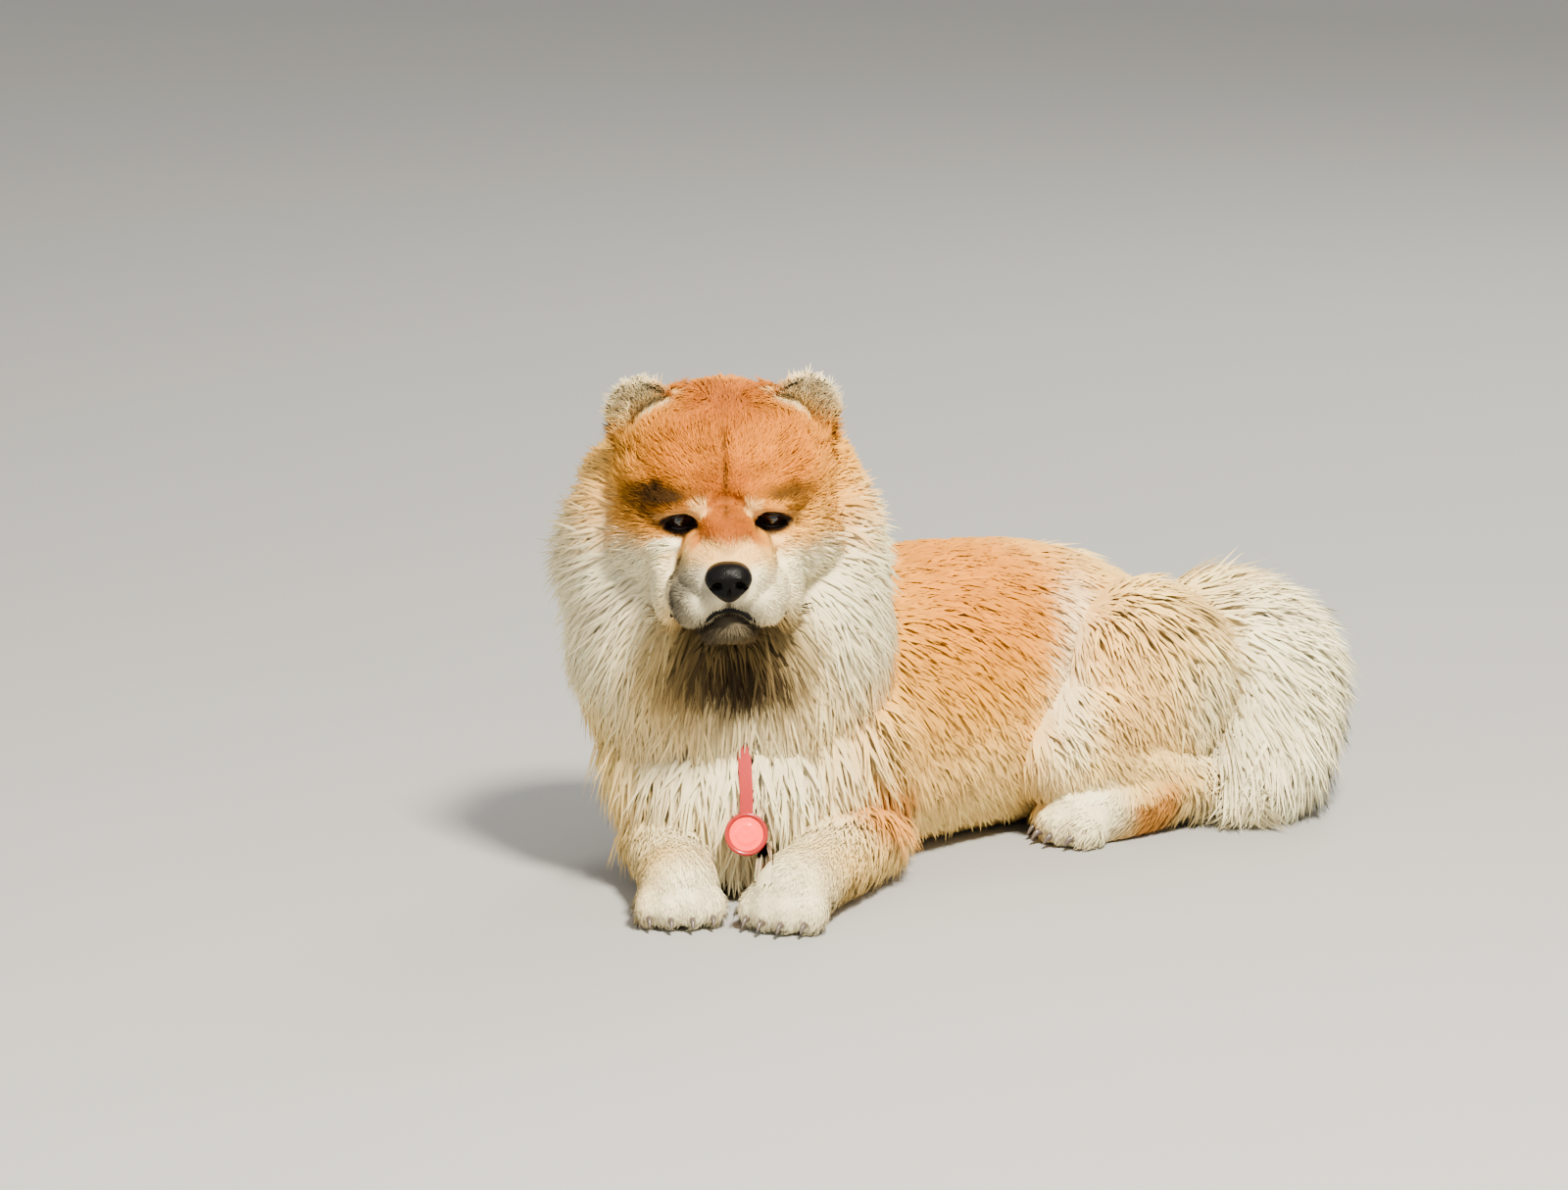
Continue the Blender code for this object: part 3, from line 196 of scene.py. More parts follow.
def wobble(p, scale, seed=0):
    """Soft noise from -1 to 1: the mean of sines of the place along six seeded directions."""
    rng = np.random.default_rng(seed)
    ways = rng.normal(size=(6, 3)) / scale
    phases = rng.uniform(0, 2 * np.pi, 6)
    return np.sin(p @ ways.T + phases).mean(axis=1) * 1.6


def spline(rows, count):
    """Rows read evenly from the cubic curve that passes through the given rows."""
    rows = np.array(rows, float)
    steps = np.linalg.norm(np.diff(rows[:, :3], axis=0), axis=1)
    places = np.concatenate([[0.0], np.cumsum(steps)])
    slopes = np.gradient(rows, places, axis=0)
    wanted = np.linspace(0.0, places[-1], count)
    i = np.clip(np.searchsorted(places, wanted, side="right") - 1, 0, len(rows) - 2)
    span = (places[i + 1] - places[i])[:, None]
    t = (wanted[:, None] - places[i][:, None]) / span
    start = (2 * t**3 - 3 * t**2 + 1) * rows[i] + (t**3 - 2 * t**2 + t) * span * slopes[i]
    return start + (3 * t**2 - 2 * t**3) * rows[i + 1] + (t**3 - t**2) * span * slopes[i + 1]


# Surfaces on grids

def tube(rows, rings, sides, side=None, squareness=2.3):
    """Rings round a curve: its centre plus the across way times a rounded cosine and the rise times a sine."""
    path = spline(rows, rings)
    along = unit(np.gradient(path[:, :3], axis=0))
    if side is None:
        across = unit(np.cross(along, (0.0, 0.0, 1.0)))
    else:
        across = unit(np.array(side, float) - along * (along @ np.array(side, float))[:, None])
    rise = np.cross(across, along)
    angle = np.linspace(0.0, 2 * np.pi, sides, endpoint=False)
    c = np.sign(np.cos(angle)) * np.abs(np.cos(angle)) ** (2 / squareness)
    s = np.sign(np.sin(angle)) * np.abs(np.sin(angle)) ** (2 / squareness)
    wide = across[:, None, :] * (path[:, 3, None] * c)[:, :, None]
    high = rise[:, None, :] * (path[:, 4, None] * s)[:, :, None]
    return path[:, None, :3] + wide + high


def limb(points, radii, rings=26):
    """A tube through the points with round ends: each end row is a circle of the cap, turned 30, 55 or 80 degrees."""
    points = [np.array(p, float) for p in points]
    start, end = unit(points[1] - points[0]), unit(points[-1] - points[-2])
    rows = []
    for turn in np.radians((80, 55, 30)):
        r = radii[0] * math.cos(turn)
        rows.append((*(points[0] - start * radii[0] * math.sin(turn)), r, r))
    rows += [(*p, r, r) for p, r in zip(points, radii)]
    for turn in np.radians((30, 55, 80)):
        r = radii[-1] * math.cos(turn)
        rows.append((*(points[-1] + end * radii[-1] * math.sin(turn)), r, r))
    side = (1, 0, 0) if abs(start[2]) > 0.7 else None
    return tube(rows, rings, 20, side=side, squareness=2.0)


def oval(centre, size, squareness=2.0, rows=16, sides=28):
    """Rings of latitude whose coordinates are cosines and sines to the power 2 / squareness, times the size."""
    lat = np.linspace(-np.pi / 2, np.pi / 2, rows + 2)[1:-1, None]
    lon = np.linspace(0, 2 * np.pi, sides, endpoint=False)[None, :]
    raw = np.stack([np.cos(lat) * np.cos(lon), np.cos(lat) * np.sin(lon), np.sin(lat) + 0 * lon], -1)
    return np.asarray(centre) + np.sign(raw) * np.abs(raw) ** (2 / squareness) * np.asarray(size)


def turned(grid, degrees, about):
    """A grid turned by Euler angles about a point."""
    axes = np.array(Euler(np.radians(degrees)).to_matrix())
    return (grid - about) @ axes.T + about


def outward(points, triangles):
    """The triangles of a closed surface, all turned over when they face inwards."""
    corners = points[triangles]
    volume = np.einsum("ij,ij->i", corners[:, 0], np.cross(corners[:, 1], corners[:, 2])).sum()
    return triangles if volume > 0 else triangles[:, ::-1]


def closed(grid):
    """Points and triangles of a grid of rings: each ring joins the next, and each end closes on its middle."""
    m, n, _ = grid.shape
    points = np.concatenate([grid.reshape(-1, 3), grid[:1].mean(axis=1), grid[-1:].mean(axis=1)])
    i, j = np.meshgrid(np.arange(m - 1), np.arange(n), indexing="ij")
    a, b = i * n + j, i * n + (j + 1) % n
    sides = np.stack([a, a + n, b + n, a, b + n, b], -1).reshape(-1, 3)
    ring, after, last = np.arange(n), (np.arange(n) + 1) % n, (m - 1) * n
    start = np.stack([np.full(n, m * n), ring, after], -1)
    end = np.stack([np.full(n, m * n + 1), last + after, last + ring], -1)
    return points, outward(points, np.concatenate([sides, start, end]))


def joined(solids):
    """Several (points, triangles) as one."""
    points, triangles, start = [], [], 0
    for p, t in solids:
        points.append(p)
        triangles.append(t + start)
        start += len(p)
    return np.concatenate(points), np.concatenate(triangles)


# Objects

def mesh_of(name, points, triangles):
    """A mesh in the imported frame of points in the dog's frame, all its faces triangles."""
    mesh = bpy.data.meshes.new(name)
    mesh.vertices.add(len(points))
    mesh.vertices.foreach_set("co", (points + SHIFT).astype(np.float32).ravel())
    mesh.loops.add(triangles.size)
    mesh.loops.foreach_set("vertex_index", triangles.astype(np.int32).ravel())
    mesh.polygons.add(len(triangles))
    mesh.polygons.foreach_set("loop_start", np.arange(0, triangles.size, 3, dtype=np.int32))
    mesh.update(calc_edges=True)
    return mesh


def object_of(name, points, triangles):
    made = bpy.data.objects.new(name, mesh_of(name, points, triangles))
    bpy.context.scene.collection.objects.link(made)
    made.data.shade_smooth()
    return made


def piece(name, grids, material, colours=None):
    """A finished piece of one or more closed grids that rides on the dog."""
    points, triangles = joined([closed(grid) for grid in grids])
    made = object_of(name, points, triangles)
    if colours is not None:
        paint(made.data, colours(points))
    return finished(made, material)


def finished(made, material):
    made.data.materials.clear()
    made.data.materials.append(material)
    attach(made, BODY)
    return made


def paint(mesh, colours):
    """Stores one colour a point as the mesh's attribute that its material reads."""
    layer = mesh.color_attributes.new("colour", "FLOAT_COLOR", "POINT")
    rgba = np.ones((len(colours), 4), np.float32)
    rgba[:, :3] = colours
    layer.data.foreach_set("color", rgba.ravel())


def points_of(mesh):
    """Points and normals of a mesh, back in the dog's frame."""
    count = len(mesh.vertices)
    points, normals = np.zeros(count * 3), np.zeros(count * 3)
    mesh.vertices.foreach_get("co", points)
    mesh.vertex_normals.foreach_get("vector", normals)
    return points.reshape(-1, 3) - SHIFT, normals.reshape(-1, 3)


def triangles_of(mesh):
    mesh.calc_loop_triangles()
    corners = np.zeros(len(mesh.loop_triangles) * 3, np.int32)
    mesh.loop_triangles.foreach_get("vertices", corners)
    return corners.reshape(-1, 3)


def move_points(mesh, points):
    mesh.vertices.foreach_set("co", (points + SHIFT).ravel())
    mesh.update()


def applied(made):
    """Replaces the object's mesh by what its modifiers make of it."""
    graph = bpy.context.evaluated_depsgraph_get()
    mesh = bpy.data.meshes.new_from_object(made.evaluated_get(graph))
    old = made.data
    made.modifiers.clear()
    made.data = mesh
    mesh.name = made.name
    bpy.data.meshes.remove(old)
    return made


def remeshed(name, grids, cell, rounds):
    """One closed skin over overlapping closed grids, in cells of the given size, smoothed."""
    made = object_of(name, *joined([closed(grid) for grid in grids]))
    step = made.modifiers.new("skin", "REMESH")
    step.mode = "VOXEL"
    step.voxel_size = cell
    step = made.modifiers.new("smooth", "SMOOTH")
    step.factor = 0.5
    step.iterations = rounds
    return applied(made)


def boolean(made, other, operation):
    """Joins or cuts two closed meshes and removes the second."""
    step = made.modifiers.new("join", "BOOLEAN")
    step.operation = operation
    step.solver = "MANIFOLD"
    step.object = other
    applied(made)
    mesh = other.data
    bpy.data.objects.remove(other)
    bpy.data.meshes.remove(mesh)
    return made


# Materials

def material(name, roughness, colour=None, sheen=0.0, coat=0.0, specular=0.5):
    """A Principled material. Without a colour it reads the mesh's own colour attribute."""
    made = bpy.data.materials.new(name)
    made.use_nodes = True
    shader = made.node_tree.nodes["Principled BSDF"]
    shader.inputs["Roughness"].default_value = roughness
    shader.inputs["Sheen Weight"].default_value = sheen
    shader.inputs["Coat Weight"].default_value = coat
    shader.inputs["Specular IOR Level"].default_value = specular
    if colour is not None:
        shader.inputs["Base Color"].default_value = (*colour, 1.0)
    else:
        source = made.node_tree.nodes.new("ShaderNodeAttribute")
        source.attribute_name = "colour"
        made.node_tree.links.new(source.outputs["Color"], shader.inputs["Base Color"])
    return made


def add_noise(made, scale, spread, base=None, stretch=(1, 1, 1), bump=0.0, distance=0.001, kind="noise"):
    """Varies a material's colour by the spread, and its height by the bump, with one noise on Object coordinates."""
    tree = made.node_tree
    shader = tree.nodes["Principled BSDF"]
    where = tree.nodes.new("ShaderNodeTexCoord")
    mapping = tree.nodes.new("ShaderNodeMapping")
    mapping.inputs["Scale"].default_value = stretch
    tree.links.new(where.outputs["Object"], mapping.inputs["Vector"])
    if kind == "noise":
        noise = tree.nodes.new("ShaderNodeTexNoise")
        noise.inputs["Detail"].default_value = 6.0
        out = noise.outputs["Fac"]
    else:
        noise = tree.nodes.new("ShaderNodeTexVoronoi")
        out = noise.outputs["Distance"]
    noise.inputs["Scale"].default_value = scale
    tree.links.new(mapping.outputs["Vector"], noise.inputs["Vector"])
    if spread:
        ramp = tree.nodes.new("ShaderNodeMapRange")
        ramp.inputs["To Min"].default_value = 1.0 - spread
        ramp.inputs["To Max"].default_value = 1.0 + spread
        mix = tree.nodes.new("ShaderNodeMix")
        mix.data_type = "RGBA"
        mix.blend_type = "MULTIPLY"
        mix.inputs[0].default_value = 1.0
        tree.links.new(out, ramp.inputs["Value"])
        link = shader.inputs["Base Color"].links
        if link:
            tree.links.new(link[0].from_socket, mix.inputs[6])
        else:
            mix.inputs[6].default_value = (*base, 1.0)
        tree.links.new(ramp.outputs["Result"], mix.inputs[7])
        tree.links.new(mix.outputs[2], shader.inputs["Base Color"])
    if bump:
        raised = tree.nodes.new("ShaderNodeBump")
        raised.inputs["Strength"].default_value = bump
        raised.inputs["Distance"].default_value = distance
        tree.links.new(out, raised.inputs["Height"])
        tree.links.new(raised.outputs["Normal"], shader.inputs["Normal"])
    return made


# Markings and painted shade

def blob(points, centre, size, edge, seed):
    """How far a point lies inside a soft ellipsoid: 1 within, 0 outside, its rim broken up by soft noise."""
    r = np.linalg.norm((points - centre) / size, axis=1)
    scale = 0.004 + 0.25 * size.mean()
    return 1.0 - smooth(r + 0.14 * wobble(points, scale, seed), 1.0 - edge, 1.0 + edge)


# Each marking or patch of painted shade: colour, frame, centre, size, softness of its edge and strength. Later ones
# lie over earlier ones.
MARKINGS = (
    ("peach", "dog", (0.165, 0.120, 0.222), (0.145, 0.190, 0.108), 0.60, 1.00),
    ("orange", "dog", (0.190, 0.130, 0.240), (0.105, 0.140, 0.070), 0.60, 0.80),
    ("peach", "dog", (0.010, 0.080, 0.350), (0.095, 0.090, 0.130), 0.50, 0.80),
    ("sand", "dog", (0.345, 0.150, 0.165), (0.055, 0.060, 0.070), 0.50, 0.70),
    ("white", "dog", (0.291, 0.155, 0.160), (0.021, 0.060, 0.110), 0.80, 0.75),
    # Streak on the lower thigh: the coat's own streak with painted shade along the leg
    ("brown_and_shade", "dog", (0.342, 0.130, 0.110), (0.018, 0.040, 0.036), 0.70, 0.30),
    ("orange", "dog", (0.388, 0.139, 0.030), (0.026, 0.040, 0.030), 0.50, 0.75),
    ("white", "dog", (0.319, 0.092, 0.030), (0.046, 0.050, 0.034), 0.40, 0.90),
    ("orange", "dog", (0.122, -0.052, 0.086), (0.040, 0.050, 0.036), 0.50, 0.80),
    ("brown_and_shade", "dog", (0.405, 0.200, 0.212), (0.018, 0.030, 0.010), 0.60, 0.45),
    ("white", "dog", (0.490, 0.250, 0.110), (0.100, 0.120, 0.130), 0.40, 0.95),
    ("white", "dog", (-0.005, -0.240, 0.020), (0.115, 0.085, 0.060), 0.40, 0.95),
    ("white", "dog", (0.000, -0.115, 0.130), (0.100, 0.070, 0.100), 0.50, 0.85),
    ("white", "head", (0.100, -0.030, -0.085), (0.055, 0.080, 0.070), 0.50, 0.85),
    ("white", "head", (-0.100, -0.030, -0.085), (0.055, 0.080, 0.070), 0.50, 0.85),
    ("peach", "head", (0.000, -0.030, 0.020), (0.112, 0.120, 0.092), 0.30, 0.95),
    ("orange", "head", (0.000, -0.060, 0.035), (0.082, 0.090, 0.070), 0.40, 1.00),
    ("orange", "head", (0.000, 0.045, 0.075), (0.078, 0.075, 0.034), 0.50, 0.90),
    ("amber", "head", (0.000, -0.030, 0.090), (0.062, 0.090, 0.040), 0.60, 0.80),
    ("cream", "head", (0.0790, -0.012, 0.079), (0.034, 0.030, 0.038), 0.25, 0.95),
    ("cream", "head", (-0.0790, -0.012, 0.079), (0.034, 0.030, 0.038), 0.25, 0.95),
    ("white", "head", (0.0840, -0.018, 0.085), (0.028, 0.022, 0.030), 0.50, 0.70),
    ("white", "head", (-0.0840, -0.018, 0.085), (0.028, 0.022, 0.030), 0.50, 0.70),
    ("orange", "head", (0.0740, 0.040, 0.070), (0.040, 0.022, 0.048), 0.30, 0.90),
    ("orange", "head", (-0.0740, 0.040, 0.070), (0.040, 0.022, 0.048), 0.30, 0.90),
    # Hollows of the ears: darker fur with painted shade, stronger in the right ear (x below 0)
    ("brown_and_shade", "head", (0.0640, -0.006, 0.044), (0.012, 0.018, 0.012), 0.60, 0.65),
    ("brown_and_shade", "head", (-0.0640, -0.006, 0.044), (0.012, 0.018, 0.012), 0.60, 0.90),
    ("amber", "head", (0.000, -0.110, 0.004), (0.026, 0.050, 0.040), 0.60, 0.70),
    ("orange", "head", (0.000, -0.135, -0.020), (0.040, 0.040, 0.016), 0.40, 0.90),
    ("amber", "head", (0.000, -0.140, -0.013), (0.033, 0.034, 0.014), 0.60, 0.90),
    ("white", "head", (0.066, -0.070, -0.066), (0.038, 0.060, 0.030), 0.45, 0.90),
    ("white", "head", (-0.066, -0.070, -0.066), (0.038, 0.060, 0.030), 0.45, 0.90),
    ("white", "head", (0.000, -0.150, -0.066), (0.060, 0.052, 0.036), 0.25, 0.95),
    ("sand", "head", (0.000, -0.156, -0.028), (0.036, 0.022, 0.010), 0.50, 0.95),
    # Painted shade down the right side of the muzzle (x below 0) and along its fold
    ("muzzle_shade", "head", (-0.032, -0.150, -0.066), (0.018, 0.034, 0.026), 0.60, 0.75),
    ("umber", "head", (-0.041, -0.150, -0.060), (0.010, 0.032, 0.024), 0.70, 0.50),
    ("white", "head", (-0.026, -0.165, -0.071), (0.009, 0.020, 0.009), 0.60, 0.60),
    # Painted shade below the nose
    ("muzzle_shade", "head", (0.010, -0.165, -0.076), (0.018, 0.020, 0.010), 0.60, 0.70),
    ("umber", "head", (0.000, -0.165, -0.080), (0.012, 0.024, 0.008), 0.60, 0.70),
    # Outer brows: dark fur with painted shade on it, broad and strong over the right eye (x below 0) and small over
    # the left
    ("olive_and_shade", "head", (-0.053, -0.080, 0.0080), (0.031, 0.040, 0.0100), 0.50, 1.00),
    ("olive_and_shade", "head", (-0.069, -0.070, -0.004), (0.014, 0.045, 0.0120), 0.60, 0.80),
    ("olive_and_shade", "head", (0.050, -0.090, 0.0085), (0.020, 0.030, 0.0070), 0.55, 0.90),
    ("brown_and_shade", "head", (0.063, -0.075, 0.0000), (0.012, 0.030, 0.0090), 0.60, 0.60),
    ("sand", "head", (0.0250, -0.0960, -0.0045), (0.0090, 0.016, 0.0080), 0.35, 0.90),
    ("sand", "head", (-0.0265, -0.0960, -0.0045), (0.0095, 0.016, 0.0085), 0.35, 0.90),
    # Dark round each eye opening: the lids' dark skin, with painted shade on the walls of the deep-set opening
    ("dark", "head", (0.0410, -0.0800, -0.0185), (0.0170, 0.022, 0.0092), 0.20, 1.00),
    ("dark", "head", (-0.0410, -0.0800, -0.0185), (0.0175, 0.022, 0.0098), 0.20, 1.00),
    ("white", "head", (-0.049, -0.086, -0.036), (0.013, 0.016, 0.0060), 0.35, 0.90),
    ("sand", "head", (0.042, -0.086, -0.034), (0.014, 0.016, 0.0060), 0.40, 0.90),
    # Chin and throat: darker fur, with painted shade beneath the chin where the head shades the throat
    ("umber", "head", (0.000, -0.150, -0.103), (0.044, 0.045, 0.022), 0.30, 0.92),
    ("dark", "head", (0.000, -0.100, -0.130), (0.046, 0.075, 0.020), 0.45, 0.95),
    ("dark", "head", (0.000, -0.065, -0.112), (0.046, 0.075, 0.026), 0.50, 0.88),
    ("umber", "head", (0.000, -0.085, -0.145), (0.046, 0.080, 0.020), 0.70, 0.45),
)
FROM_FRONT = (1.0, 0.15, 1.0)    # how much each way counts towards a line's distance, which is seen from the front
# Thin dark and pale lines of the face: colour, places in the head's frame, radius and strength to the left and right.
LINES = (
    # The furrow's line is painted shade in the crease
    ("olive_and_shade", FURROW, 0.0024, 0.90, 0.90),
    ("sand", ((0.030, -0.096, -0.005), (0.044, -0.094, -0.0055), (0.058, -0.078, -0.013)), 0.0028, 0.75, 0.90),
    ("dark", ((0.059, -0.080, -0.018), (0.050, -0.086, -0.0120), (0.041, -0.090, -0.0100), (0.031, -0.091, -0.0130),
              (0.026, -0.092, -0.021), (0.030, -0.090, -0.030)), 0.0032, 1.00, 1.00),
    ("dark", ((0.030, -0.090, -0.030), (0.042, -0.090, -0.0280), (0.055, -0.086, -0.022)), 0.0026, 0.85, 1.00),
    # The fold down each side of the muzzle: painted shade, faint on the left (x above 0) and strong on the right
    ("dark", ((0.0385, -0.117, -0.036), (0.0447, -0.108, -0.054), (0.0475, -0.132, -0.064), (0.044, -0.150, -0.078),
              (0.041, -0.146, -0.092)), 0.0028, 0.15, 0.95),
    ("dark", ((0.0, -0.172, -0.060), (0.0, -0.168, -0.072), (0.0, -0.163, -0.082)), 0.0034, 0.95, 0.95),
    # The mouth: dark lips with painted shade under the flews
    ("dark", MOUTH_LINE[1:-1], 0.0066, 1.00, 1.00),
)

MOTTLES = ((0.15, 0.0035, 91), (0.10, 0.012, 92))          # depth, grain and seed of each


def markings(points, colours):
    """The coat's colour at each point: cream, every marking and patch of painted shade over it, the lines of the face
    and a soft mottle.
    """
    in_frame = {"dog": points, "head": to_head(points)}
    out = np.tile(np.array(colours["cream"]), (len(points), 1))
    mottle = 1.0
    for depth, grain, seed in MOTTLES:
        mottle = mottle + depth * wobble(points, grain, seed)
    for number, (name, where, centre, size, edge, strength) in enumerate(MARKINGS):
        share = strength * blob(in_frame[where], np.array(centre), np.array(size), edge, number)
        out += (np.array(colours[name]) - out) * share[:, None]
    off = in_frame["head"] - (0.0, -0.10, -0.03)
    close = np.flatnonzero((np.linalg.norm(off, axis=1) < 0.14) & (off[:, 1] < 0.06))
    q = in_frame["head"][close] * FROM_FRONT
    for name, places, radius, left, right in LINES:
        middle = places[0][0] == 0.0 or places[0][0] == -places[-1][0]
        for side, strength in ((1, left), (-1, right))[:1 if middle else 2]:
            near = distance_to(q, np.array(places) * (side, 1, 1) * FROM_FRONT)
            share = strength * np.exp(-(near / radius) ** 2)
            out[close] += (np.array(colours[name]) - out[close]) * share[:, None]
    return out * mottle[:, None]


# The skin

def ear_grid(side, rows=18, columns=16):
    """An ear: rows of a rounded triangle, each a front edge to edge and a back the other way, bowed into a cup."""
    v = np.linspace(0, 1, rows)[:, None]
    u = np.linspace(-1, 1, columns + 1)[None, :]
    half = EAR_HALF_WIDTH * (1 - (0.97 * v) ** 3.0) ** 0.55
    cup = EAR_CUP * (1 - v * 0.55) * (1 - u * u) - 0.010 * v * v
    thick = EAR_THICKNESS * (1 - 0.35 * v) * (1 - 0.60 * u * u)
    rise = v * (EAR_HEIGHT + EAR_SINK) - EAR_SINK + 0 * u
    front = np.stack([u * half, cup, rise], -1)
    back = np.stack([u * half * 1.03, cup + thick, rise + 0.003 * v], -1)
    ring = np.concatenate([front, back[:, ::-1]], axis=1)
    turn = (EAR_TURN[0], EAR_TURN[1] * side, EAR_TURN[2] * side)
    return in_head(turned(ring, turn, np.zeros(3)) + EAR_ROOT * (side, 1, 1))


def toe_places(foot, heading):
    """Centres of the four toes round the front of a foot, and the way that it points."""
    heading = unit(np.array((heading[0], heading[1], 0.0)))
    side = np.array((-heading[1], heading[0], 0.0))
    k = np.array((-1.5, -0.5, 0.5, 1.5))[:, None]
    base = np.array((foot[0], foot[1], TOE_SIZE[2] * 0.98))
    return base + side * TOE_SPREAD * k + heading * (0.022 - 0.006 * np.abs(k) ** 1.6), heading


def feet():
    """Each foot's toes and heading."""
    made = []
    for side in (1, -1):
        _, _, wrist, paw = FORELEGS[side]
        made.append(toe_places(paw, np.subtract(paw, wrist)))
        _, _, hock, paw = in_pelvis(HIND_POINTS, side)
        made.append(toe_places(paw, paw - hock))
    return made


def head_grids():
    grids = []
    for centre, size, squareness in HEAD_OVALS:
        for side in ((1, -1) if centre[0] else (1,)):
            grids.append(in_head(oval(np.array(centre) * (side, 1, 1), size, squareness)))
    for side in (1, -1):
        grids.append(oval(eye_place(side), (LID_RADIUS,) * 3))
        grids.append(ear_grid(side))
    return grids


def body_grids():
    grids = [tube(TRUNK, 40, 40), tube(NECK, 30, 36, side=(1, 0, 0)), tube(TAIL, 30, 20, squareness=2.0)]
    grids.append(oval(CHEST, CHEST_SIZE))
    for side in (1, -1):
        grids.append(limb(FORELEGS[side][:2], FORELEG_RADII[:2]))
        grids.append(limb(FORELEGS[side][1:], FORELEG_RADII[1:], rings=40))
        thigh = turned(oval(THIGH_CENTRE, THIGH_SIZE, 2.2), (0, 18, 0), np.array(THIGH_CENTRE))
        grids.append(in_pelvis(thigh, side))
        hind = in_pelvis(HIND_POINTS, side)
        grids.append(limb(hind[:2], HIND_RADII[:2]))
        grids.append(limb(hind[1:3], HIND_RADII[1:3]))
        grids.append(limb(hind[2:], HIND_RADII[2:]))
    for toes, heading in feet():
        yaw = math.degrees(math.atan2(heading[0], -heading[1]))
        for number, toe in enumerate(toes):
            grids.append(turned(oval(toe, TOE_SIZE), (0, 0, yaw + 7 * (number - 1.5)), toe))
    return grids


def distance_to(points, curve, count=60):
    """Each point's distance to a smooth curve through the given places."""
    curve = spline(curve, count)[:, :3]
    gaps = points[:, None, :] - curve[None, :, :]
    return np.sqrt((gaps**2).sum(axis=2).min(axis=1))


# Each groove of the face: places in the head's frame, mirrored when its first x isn't 0, its radius and its depth.
GROOVES = (
    (FURROW, 0.0026, 0.0034),
    (((0.0, -0.176, -0.062), (0.0, -0.172, -0.071), (0.0, -0.163, -0.080)), 0.0022, 0.0034),
    (((0.043, -0.121, -0.038), (0.047, -0.120, -0.048), (0.050, -0.122, -0.064),
      (0.048, -0.126, -0.082), (0.048, -0.122, -0.096)), 0.0040, 0.0036),
    (((0.020, -0.098, -0.012), (0.030, -0.097, -0.0085), (0.044, -0.095, -0.0085), (0.058, -0.084, -0.015)),
     0.0024, 0.0032),
    (((0.030, -0.098, -0.032), (0.042, -0.096, -0.041), (0.056, -0.084, -0.038)), 0.0024, 0.0026),
)
MOUTH_GROOVE = (0.0034, 0.0050)
MOUTH_STEPS = 120
FACE_RIDGES = (
    (((0.022, -0.100, 0.002), (0.034, -0.100, 0.000), (0.046, -0.096, -0.002), (0.060, -0.080, -0.012)),
     0.0050, 0.0034),
    (((0.034, -0.096, -0.036), (0.045, -0.092, -0.036), (0.058, -0.082, -0.030)), 0.0042, 0.0024),
)


def sculpt_head(points, normals):
    """Sinks the short coat's depth, then pushes grooves in and ridges out by a bell curve of the distance to each."""
    q = to_head(points)
    inward = comb_values(HEAD_COMBS, q)[:, 3] * FACE_COAT_DEPTH
    inward = np.clip(inward, 0.0008, 0.008)
    for side in (1, -1):
        off = (q - (EAR_ROOT + (0.0, 0.0, 0.030)) * (side, 1, 1)) / (0.044, 0.036, 0.044)
        inward *= smooth(np.linalg.norm(off, axis=1), 0.85, 1.25)
    for sign, creases in ((1, GROOVES), (-1, FACE_RIDGES)):
        for places, radius, depth in creases:
            for side in ((1, -1) if places[0][0] else (1,)):
                near = distance_to(q, np.array(places) * (side, 1, 1))
                inward += sign * depth * np.exp(-(near / radius) ** 2)
    radius, depth = MOUTH_GROOVE
    inward += depth * np.exp(-(distance_to(q, MOUTH_LINE, MOUTH_STEPS) / radius) ** 2)
    return points - normals * inward[:, None]


def build_skin(sizes, colours):
    """Head and body are skinned apart, the head finer, then joined, with the eyes' seats cut."""
    head = remeshed("head_skin", head_grids(), sizes.head_cell, HEAD_ROUNDS)
    points, normals = points_of(head.data)
    move_points(head.data, sculpt_head(points, normals))
    skin = remeshed("skin", body_grids(), sizes.body_cell, BODY_ROUNDS)
    boolean(skin, head, "UNION")
    for side in (1, -1):
        ball = oval(eye_place(side), (sizes.eye_radius + SEAT_GAP,) * 3, rows=24, sides=36)
        seat = object_of("seat", *closed(ball))
        boolean(skin, seat, "DIFFERENCE")
        slit = object_of("slit", *closed(eye_slit(side)))
        boolean(skin, slit, "DIFFERENCE")
    points, _ = points_of(skin.data)
    points[:, 2] = np.maximum(points[:, 2], 0.0)
    move_points(skin.data, points)
    skin.data.shade_smooth()
    paint(skin.data, markings(points, colours) * SKIN_SHADE_BELOW_COAT)
    return skin


def almond(side, count=40):
    """The eye's outline in the head's frame: a cosine across, a pinched sine up, and the whole slanted."""
    t = np.linspace(0, 2 * np.pi, count, endpoint=False)
    x = EYE_SLIT[0] * np.cos(t)
    z = EYE_SLIT[1] * np.sin(t) * np.abs(np.sin(t)) ** 0.25
    z = np.where(z < 0, z * (1 + 0.35 * np.cos(t)), z)
    across = x * math.cos(EYE_SLANT) - z * math.sin(EYE_SLANT)
    up = x * math.sin(EYE_SLANT) + z * math.cos(EYE_SLANT)
    return np.stack([(EYE[0] - across) * side, np.full(count, EYE[1]), EYE[2] + up], -1)


def eye_slit(side):
    """A prism of the eye's outline, from the eyeball's middle forwards."""
    outline = almond(side)
    return np.stack([in_head(outline + (0.0, deep, 0.0)) for deep in (0.002, -0.014, -0.030)])


